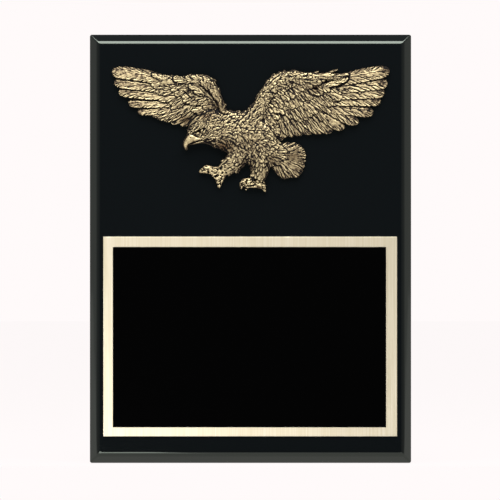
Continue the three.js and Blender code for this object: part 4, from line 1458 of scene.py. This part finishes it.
@dataclass
class Eagle:
    """The eagle: one flat-backed casting, modelled as a sheet of relief that is cut out and closed behind."""

    rise: float = 86.0
    board_face: float = 15.875
    glue_film: float = 0.25
    side_rub: float = 0.45
    rubbed_all_over: float = 0.62
    lowest: float = 0.5
    split_width: float = 0.42
    split_length: float = 5.0
    toe_dents: int = 22
    smooth_angle: float = 75.0
    finish: AntiqueGold = AntiqueGold()

    def model_relief(self) -> Relief:
        """Lays every form and feather of the eagle on a sheet.

        Returns:
            The finished sheet.
        """
        relief = Relief()
        for limb in LIMBS + TOES + (SKULL, CHEEK, CERE):
            limb.lay(relief)
        inside = relief.reach > 0
        ground = relief.settled(relief.height, 0.6)
        relief.height = np.where(inside, ground, 0.0)
        for number, row in enumerate(ROWS):
            row.lay(relief, Seed.ROWS + number)
        flow = relief.grain(4.0, Seed.FLOW)
        for number, coat in enumerate(COATS):
            coat.lay(relief, ground, flow, Seed.COATS + number)
        for number, row in enumerate(TOP_ROWS):
            row.lay(relief, Seed.TOP_ROWS + number)
        self.model_folds(relief)
        self.model_toes(relief)
        self.model_face(relief)
        feathered = (relief.reach > 0) * (1 - relief.bare)
        split = relief.streaks(self.split_width, self.split_length, Seed.SPLITS)
        relief.height += feathered * (0.1 * np.clip(split, -1.5, 1.5) + 0.03 * relief.grain(0.4, Seed.PITS))
        relief.dark = np.maximum(relief.dark, feathered * soft_step((-split - 0.7) / 0.5))
        relief.height = np.clip(relief.height, self.lowest, relief.highest)
        for x, y, radius_x, radius_y, strength in STAINS:
            cut, out = relief.near(x, y, radius_x, radius_y)
            relief.brown[cut] = np.maximum(relief.brown[cut], strength * (1 - soft_step(out / 1.6)))
        relief.brown = np.maximum(relief.brown, 0.5 * relief.old)
        return relief

    def model_folds(self, relief: Relief) -> None:
        """Cuts the folds between the arms of the wings and their coverts, and the dent at the wrist.

        Args:
            relief: the sheet.
        """
        for path, width, depth in FOLDS:
            relief.engrave(path, width, depth)
        relief.press(*WRIST_DENT)

    def model_face(self, relief: Relief) -> None:
        """Adds the beak, the brow, the eye in its hollow, the nostril and the mouth.

        Args:
            relief: the sheet.
        """
        relief.press(*EYE_HOLLOW)
        relief.engrave(*BROW_FOLD)
        LOWER_BILL.lay(relief)
        BEAK.lay(relief)
        BROW.lay(relief)
        relief.press(*EYE)
        relief.press(*NOSTRIL)
        relief.engrave(*CERE_LINE)
        relief.engrave(*MOUTH)

    def model_toes(self, relief: Relief) -> None:
        """Makes the toes and the pads of the feet rough with small dents.

        Args:
            relief: the sheet.
        """
        rng = np.random.default_rng(Seed.DENTS)
        for toe in TOES:
            for _ in range(self.toe_dents):
                t = 0.02 + 0.85 * rng.random()
                sideways = to_left(toe.direction(t)) * along(toe.half_width, t)
                x, y = toe.point(t) + sideways * 1.6 * (rng.random() - 0.5)
                radius_x = 0.5 + 0.5 * rng.random()
                radius_y = 0.4 + 0.4 * rng.random()
                depth = 0.5 + 0.6 * rng.random()
                relief.press(x, y, radius_x, radius_y, depth)

    def wear_and_shade(self, relief: Relief) -> np.ndarray:
        """Works out how far rubbing has bared the metal, ridges fully and hollows not at all, and paints shade
        into hollows beside taller neighbours.

        Args:
            relief: the finished sheet.

        Returns:
            A value from 0 to 1 for each place.
        """
        height = relief.height
        rubbed_and_shaded = self.rubbed_all_over
        for around, least, most, strength in RIDGES:
            rubbed_and_shaded = rubbed_and_shaded + strength * np.clip(height - relief.settled(height, around), least, most)
        rubbed_and_shaded = rubbed_and_shaded + 0.08 * relief.grain(0.5, Seed.UNEVEN)
        # What was never rubbed keeps its patina in speckles.
        speckle = soft_step(0.5 + 0.5 * relief.grain(0.4, Seed.SPECKLE))
        rubbed_and_shaded -= relief.old * (0.12 + 0.45 * speckle)
        # Patina stays dark in gaps and hollows, and hollows beside taller neighbours also get painted shade,
        # all less so near the outline, where the side is open.
        drops = [soft_step((relief.tallest_near(steps) - height - drop) / further)
                 for steps, drop, further in HOLLOW_PATINA_AND_SHADE]
        hollow = np.max(drops, axis=0)
        sheltered = 0.3 + 0.7 * soft_step(relief.reach / 1.1)
        rubbed_and_shaded -= sheltered * (0.95 * relief.dark + 0.8 * hollow)
        rubbed_and_shaded -= relief.bare * (0.1 + 0.06 * relief.grain(0.8, Seed.BARE))
        # The last step sharpens the edge between bare metal and patina.
        rubbed_and_shaded = np.clip(rubbed_and_shaded + 0.35 * (rubbed_and_shaded - relief.settled(rubbed_and_shaded, 0.5)), 0, 1)
        inward = soft_step(relief.reach / 0.4)
        return inward * rubbed_and_shaded + (1 - inward) * self.side_rub

    def flood(self, open_places: np.ndarray, start: tuple[int, int]) -> np.ndarray:
        """Finds the places joined to a starting place.

        Args:
            open_places: where the flood may go.
            start: row and column where it starts.

        Returns:
            True where it reached.
        """
        wet = np.zeros_like(open_places)
        wet[start] = True
        size = 0
        while wet.sum() != size:
            size = wet.sum()
            for _ in range(8):
                grown = wet.copy()
                grown[1:] |= wet[:-1]
                grown[:-1] |= wet[1:]
                grown[:, 1:] |= wet[:, :-1]
                grown[:, :-1] |= wet[:, 1:]
                wet = grown & open_places
        return wet

    def kept_cells(self, relief: Relief) -> np.ndarray:
        """Chooses the cells of the sheet that belong to the casting, as one piece with no holes.

        Args:
            relief: the finished sheet.

        Returns:
            True for each cell that stays.
        """
        inside = (relief.reach > 0).astype(int)
        corners = inside[:-1, :-1] + inside[:-1, 1:] + inside[1:, :-1] + inside[1:, 1:]
        cells = corners >= 2
        middle = (int(-relief.bottom / relief.step) - 20, int(-relief.left / relief.step))
        # One piece, with no holes, and with no two cells that meet only at a corner.
        cells = self.flood(cells, middle)
        cells = ~self.flood(~cells, (0, 0))
        for _ in range(4):
            a, b, c, d = cells[:-1, :-1], cells[:-1, 1:], cells[1:, :-1], cells[1:, 1:]
            crossed = (a & d & ~b & ~c) | (b & c & ~a & ~d)
            for part in (a, b, c, d):
                part |= crossed
        return cells

    def raise_sheet(self, relief: Relief) -> bpy.types.Object:
        """Gives a grid the relief's heights and cuts it to the eagle's outline.

        Args:
            relief: the finished sheet.

        Returns:
            The open sheet, lying face up.
        """
        bpy.ops.mesh.primitive_grid_add(
            x_subdivisions=relief.columns - 1, y_subdivisions=relief.rows - 1, size=1)
        piece = new_piece("eagle_casting")
        mesh = piece.data
        corners = places_of(mesh)
        column = np.rint((corners[:, 0] + 0.5) * (relief.columns - 1)).astype(int)
        line = np.rint((corners[:, 1] + 0.5) * (relief.rows - 1)).astype(int)
        # Points just outside are moved in onto the outline, so that it runs smoothly and not in steps.
        slope_y, slope_x = np.gradient(relief.reach, relief.step)
        steep = slope_x**2 + slope_y**2 + 1e-6
        outside = (relief.reach <= 0) & (relief.reach > -3 * relief.step)
        pull = np.where(outside, -relief.reach / steep, 0.0)
        limit = 0.8 * relief.step
        shift_x = np.clip(pull * slope_x, -limit, limit)
        shift_y = np.clip(pull * slope_y, -limit, limit)
        past_outline = np.maximum(relief.settled(relief.height, 0.3), relief.rim)
        height = np.where(relief.reach > 0, relief.height, past_outline)
        corners[:, 0] = relief.xs[column] + shift_x[line, column]
        corners[:, 1] = relief.ys[line] + shift_y[line, column]
        corners[:, 2] = height[line, column]
        mesh.vertices.foreach_set("co", (corners * MM).ravel())
        for name, values in ((Relief.RUBBED_AND_SHADED, self.wear_and_shade(relief)), (Relief.BROWN, relief.brown)):
            held = mesh.attributes.new(name, "FLOAT", "POINT")
            held.data.foreach_set("value", values[line, column])
        cells = self.kept_cells(relief)
        first = np.zeros(len(mesh.polygons), int)
        mesh.polygons.foreach_get("loop_start", first)
        loop_vertices = np.zeros(len(mesh.loops), int)
        mesh.loops.foreach_get("vertex_index", loop_vertices)
        around = loop_vertices[first[:, None] + np.arange(4)]
        dropped = ~cells[line[around].min(1), column[around].min(1)]
        choose(piece, "FACE", dropped)
        bpy.ops.mesh.delete(type="FACE")
        bpy.ops.object.mode_set(mode="OBJECT")
        return piece

    def close_back(self) -> None:
        """Draws the open sheet's outline straight back to the board and closes it with a flat face."""
        bpy.ops.object.mode_set(mode="EDIT")
        bpy.ops.mesh.select_mode(type="EDGE")
        bpy.ops.mesh.select_all(action="DESELECT")
        bpy.ops.mesh.select_non_manifold(
            extend=False, use_wire=False, use_boundary=True, use_multi_face=False,
            use_non_contiguous=False, use_verts=False)
        bpy.ops.mesh.extrude_edges_move(TRANSFORM_OT_translate={"value": (0, 0, -MM)})
        bpy.ops.transform.resize(value=(1, 1, 0), center_override=(0, 0, 0))
        bpy.ops.mesh.fill(use_beauty=False)
        bpy.ops.mesh.select_all(action="SELECT")
        bpy.ops.mesh.dissolve_degenerate(threshold=0.002 * MM)
        bpy.ops.mesh.normals_make_consistent(inside=False)
        bpy.ops.object.mode_set(mode="OBJECT")

    def even_sides(self, piece: bpy.types.Object) -> None:
        """Gives the rim of the flat back the same wear as the straight sides.

        Args:
            piece: the closed casting, lying on its back.
        """
        mesh = piece.data
        values = np.zeros(len(mesh.vertices))
        held = mesh.attributes[Relief.RUBBED_AND_SHADED].data
        held.foreach_get("value", values)
        values[places_of(mesh)[:, 2] <= 0] = self.side_rub
        held.foreach_set("value", values)

    def build(self) -> bpy.types.Object:
        """Models the casting, dresses it and puts it in place of its solid.

        Returns:
            The finished casting.
        """
        start_fresh()
        relief = self.model_relief()
        piece = self.raise_sheet(relief)
        self.close_back()
        self.even_sides(piece)
        piece.data.materials.append(self.finish.make())
        stand_up(piece, 0, -(self.board_face + self.glue_film) * MM, self.rise * MM)
        bpy.ops.object.shade_smooth_by_angle(angle=math.radians(self.smooth_angle))
        hand_over(piece, "eagle")
        return piece


@dataclass
class Plates:
    """The two thin metal plates, whose solids are already right and only need their finishes."""

    brass: BrushedBrass = BrushedBrass()
    black: BlackCoatedBrass = BlackCoatedBrass()

    def dress(self) -> None:
        """Gives each plate's solid its finish."""
        for node, finish in (("brass_plate", self.brass), ("engraving_plate", self.black)):
            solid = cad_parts[node]
            solid.data.materials.clear()
            solid.data.materials.append(finish.make())
            log.info("%s: dressed", node)


@dataclass
class Studio:
    """A white studio: pale floor, soft lights and the camera straight in front of the plaque.

    Places and sizes are in metres.
    """

    frame_width: float = 0.3551
    distance: float = 3.0
    sensor: float = 36.0
    aim_x: float = -0.00036
    aim_z: float = -0.00085
    face: float = 0.015875
    floor_size: float = 12.0
    floor_gap: float = 0.0005
    floor_shade: str = "#2c2a2a"
    floor_roughness: float = 0.9
    floor_glow: float = 0.97
    fade: tuple[float, float] = (-0.07, -0.03)
    paper: str = "#fffafa"
    ceiling: str = "#7a7b7d"
    ceiling_from: tuple[float, float] = (0.6, 0.97)
    ground_from: tuple[float, float] = (-0.12, -0.2)
    walls: Stops = ((0.0, "#d2cfcd"), (0.5, "#959392"), (0.9, "#7b7a7a"), (0.98, "#3d4245"))

    def camera(self) -> None:
        """Places the camera so that the board fills the picture as in the photograph."""
        data = bpy.data.cameras.new("camera")
        data.sensor_width = self.sensor
        data.lens = self.sensor * self.distance / self.frame_width
        data.clip_end = 50
        camera = bpy.data.objects.new("camera", data)
        bpy.context.scene.collection.objects.link(camera)
        camera.location = (self.aim_x, -self.face - self.distance, self.aim_z)
        camera.rotation_euler = (math.radians(90), 0, 0)
        bpy.context.scene.camera = camera

    def floor(self) -> None:
        """Lays the pale floor under the plaque's lower edge. It fades out in front of the plaque, towards the
        camera.
        """
        start_fresh()
        level = CAD_BOX[0].z - self.floor_gap
        bpy.ops.mesh.primitive_plane_add(size=self.floor_size, location=(0, 0, level))
        piece = new_piece("studio_floor")
        bpy.ops.object.transform_apply(location=True, rotation=True, scale=True)
        material, tree, shader = new_material("studio_floor")
        parts = add_node(tree, "SeparateXYZ", {"Vector": add_node(tree, "TexCoord").outputs["Object"]})
        run = {"From Min": self.fade[0], "From Max": self.fade[1], "Value": parts.outputs["Y"]}
        feed(shader, {
            "Alpha": add_node(tree, "MapRange", run).outputs["Result"],
            "Base Color": linear(self.floor_shade),
            "Roughness": self.floor_roughness,
            "Specular IOR Level": 0.0,
            "Emission Color": linear(self.paper),
            "Emission Strength": self.floor_glow,
        })
        piece.data.materials.append(material)

    def softbox(
        self, name: str, place: Vector, target: Vector, size: tuple[float, float], glow: float,
    ) -> None:
        """Adds a rectangular soft light.

        Args:
            name: the light's name.
            place: where its middle is.
            target: what it points at.
            size: its width and height.
            glow: its brightness, with 1 as white paper in the picture.
        """
        data = bpy.data.lights.new(name, "AREA")
        data.shape = "RECTANGLE"
        data.size, data.size_y = size
        data.energy = glow * math.pi * size[0] * size[1]
        light = bpy.data.objects.new(name, data)
        bpy.context.scene.collection.objects.link(light)
        light.location = place
        light.rotation_euler = (target - place).to_track_quat("-Z", "Y").to_euler()

    def lights(self) -> None:
        """Hangs the soft lights."""
        middle = Vector((0, -self.face, 0))
        self.softbox("overhead", Vector((0, -0.79, 1.135)), Vector((0, -0.53, -0.1)), (1.6, 1.04), 9.5)
        self.softbox("low_left", Vector((-0.30, -0.85, -0.40)), middle, (0.5, 0.36), 5.7)

    def surroundings(self) -> None:
        """Makes the room: white to the camera, and in reflections dark in front and paler to the sides."""
        world = bpy.data.worlds.new("studio")
        bpy.context.scene.world = world
        world.use_nodes = True
        tree = world.node_tree
        way = add_node(tree, "TexCoord").outputs["Generated"]
        parts = add_node(tree, "SeparateXYZ", {"Vector": way})
        towards = add_node(tree, "Math", {0: parts.outputs["Y"], 1: -1.0}, operation="MULTIPLY")
        room = add_node(tree, "ValToRGB", {"Fac": towards.outputs[0]}, self.walls).outputs["Color"]
        for (low, high), colour in ((self.ceiling_from, self.ceiling), (self.ground_from, self.paper)):
            run = {"From Min": low, "From Max": high, "Value": parts.outputs["Z"]}
            share = add_node(tree, "MapRange", run).outputs["Result"]
            mixed = {"Factor": share, "A": room, "B": linear(colour)}
            room = add_node(tree, "Mix", mixed, data_type="RGBA").outputs["Result"]
        seen = add_node(tree, "LightPath").outputs["Is Camera Ray"]
        mixed = {"Factor": seen, "A": room, "B": linear(self.paper)}
        shown = add_node(tree, "Mix", mixed, data_type="RGBA")
        feed(tree.nodes["Background"], {"Color": shown.outputs["Result"]})

    def build(self) -> None:
        """Sets up the whole studio."""
        self.camera()
        self.floor()
        self.lights()
        self.surroundings()
        bpy.context.scene.view_settings.view_transform = "Standard"
        log.info("studio: ready")


def main() -> None:
    """Builds the plaque piece by piece, and then the studio."""
    logging.basicConfig(level=logging.INFO, format="%(name)s: %(message)s", stream=sys.stdout)
    Board().build()
    Plates().dress()
    Eagle().build()
    Studio().build()


if __name__ == "__main__":
    main()
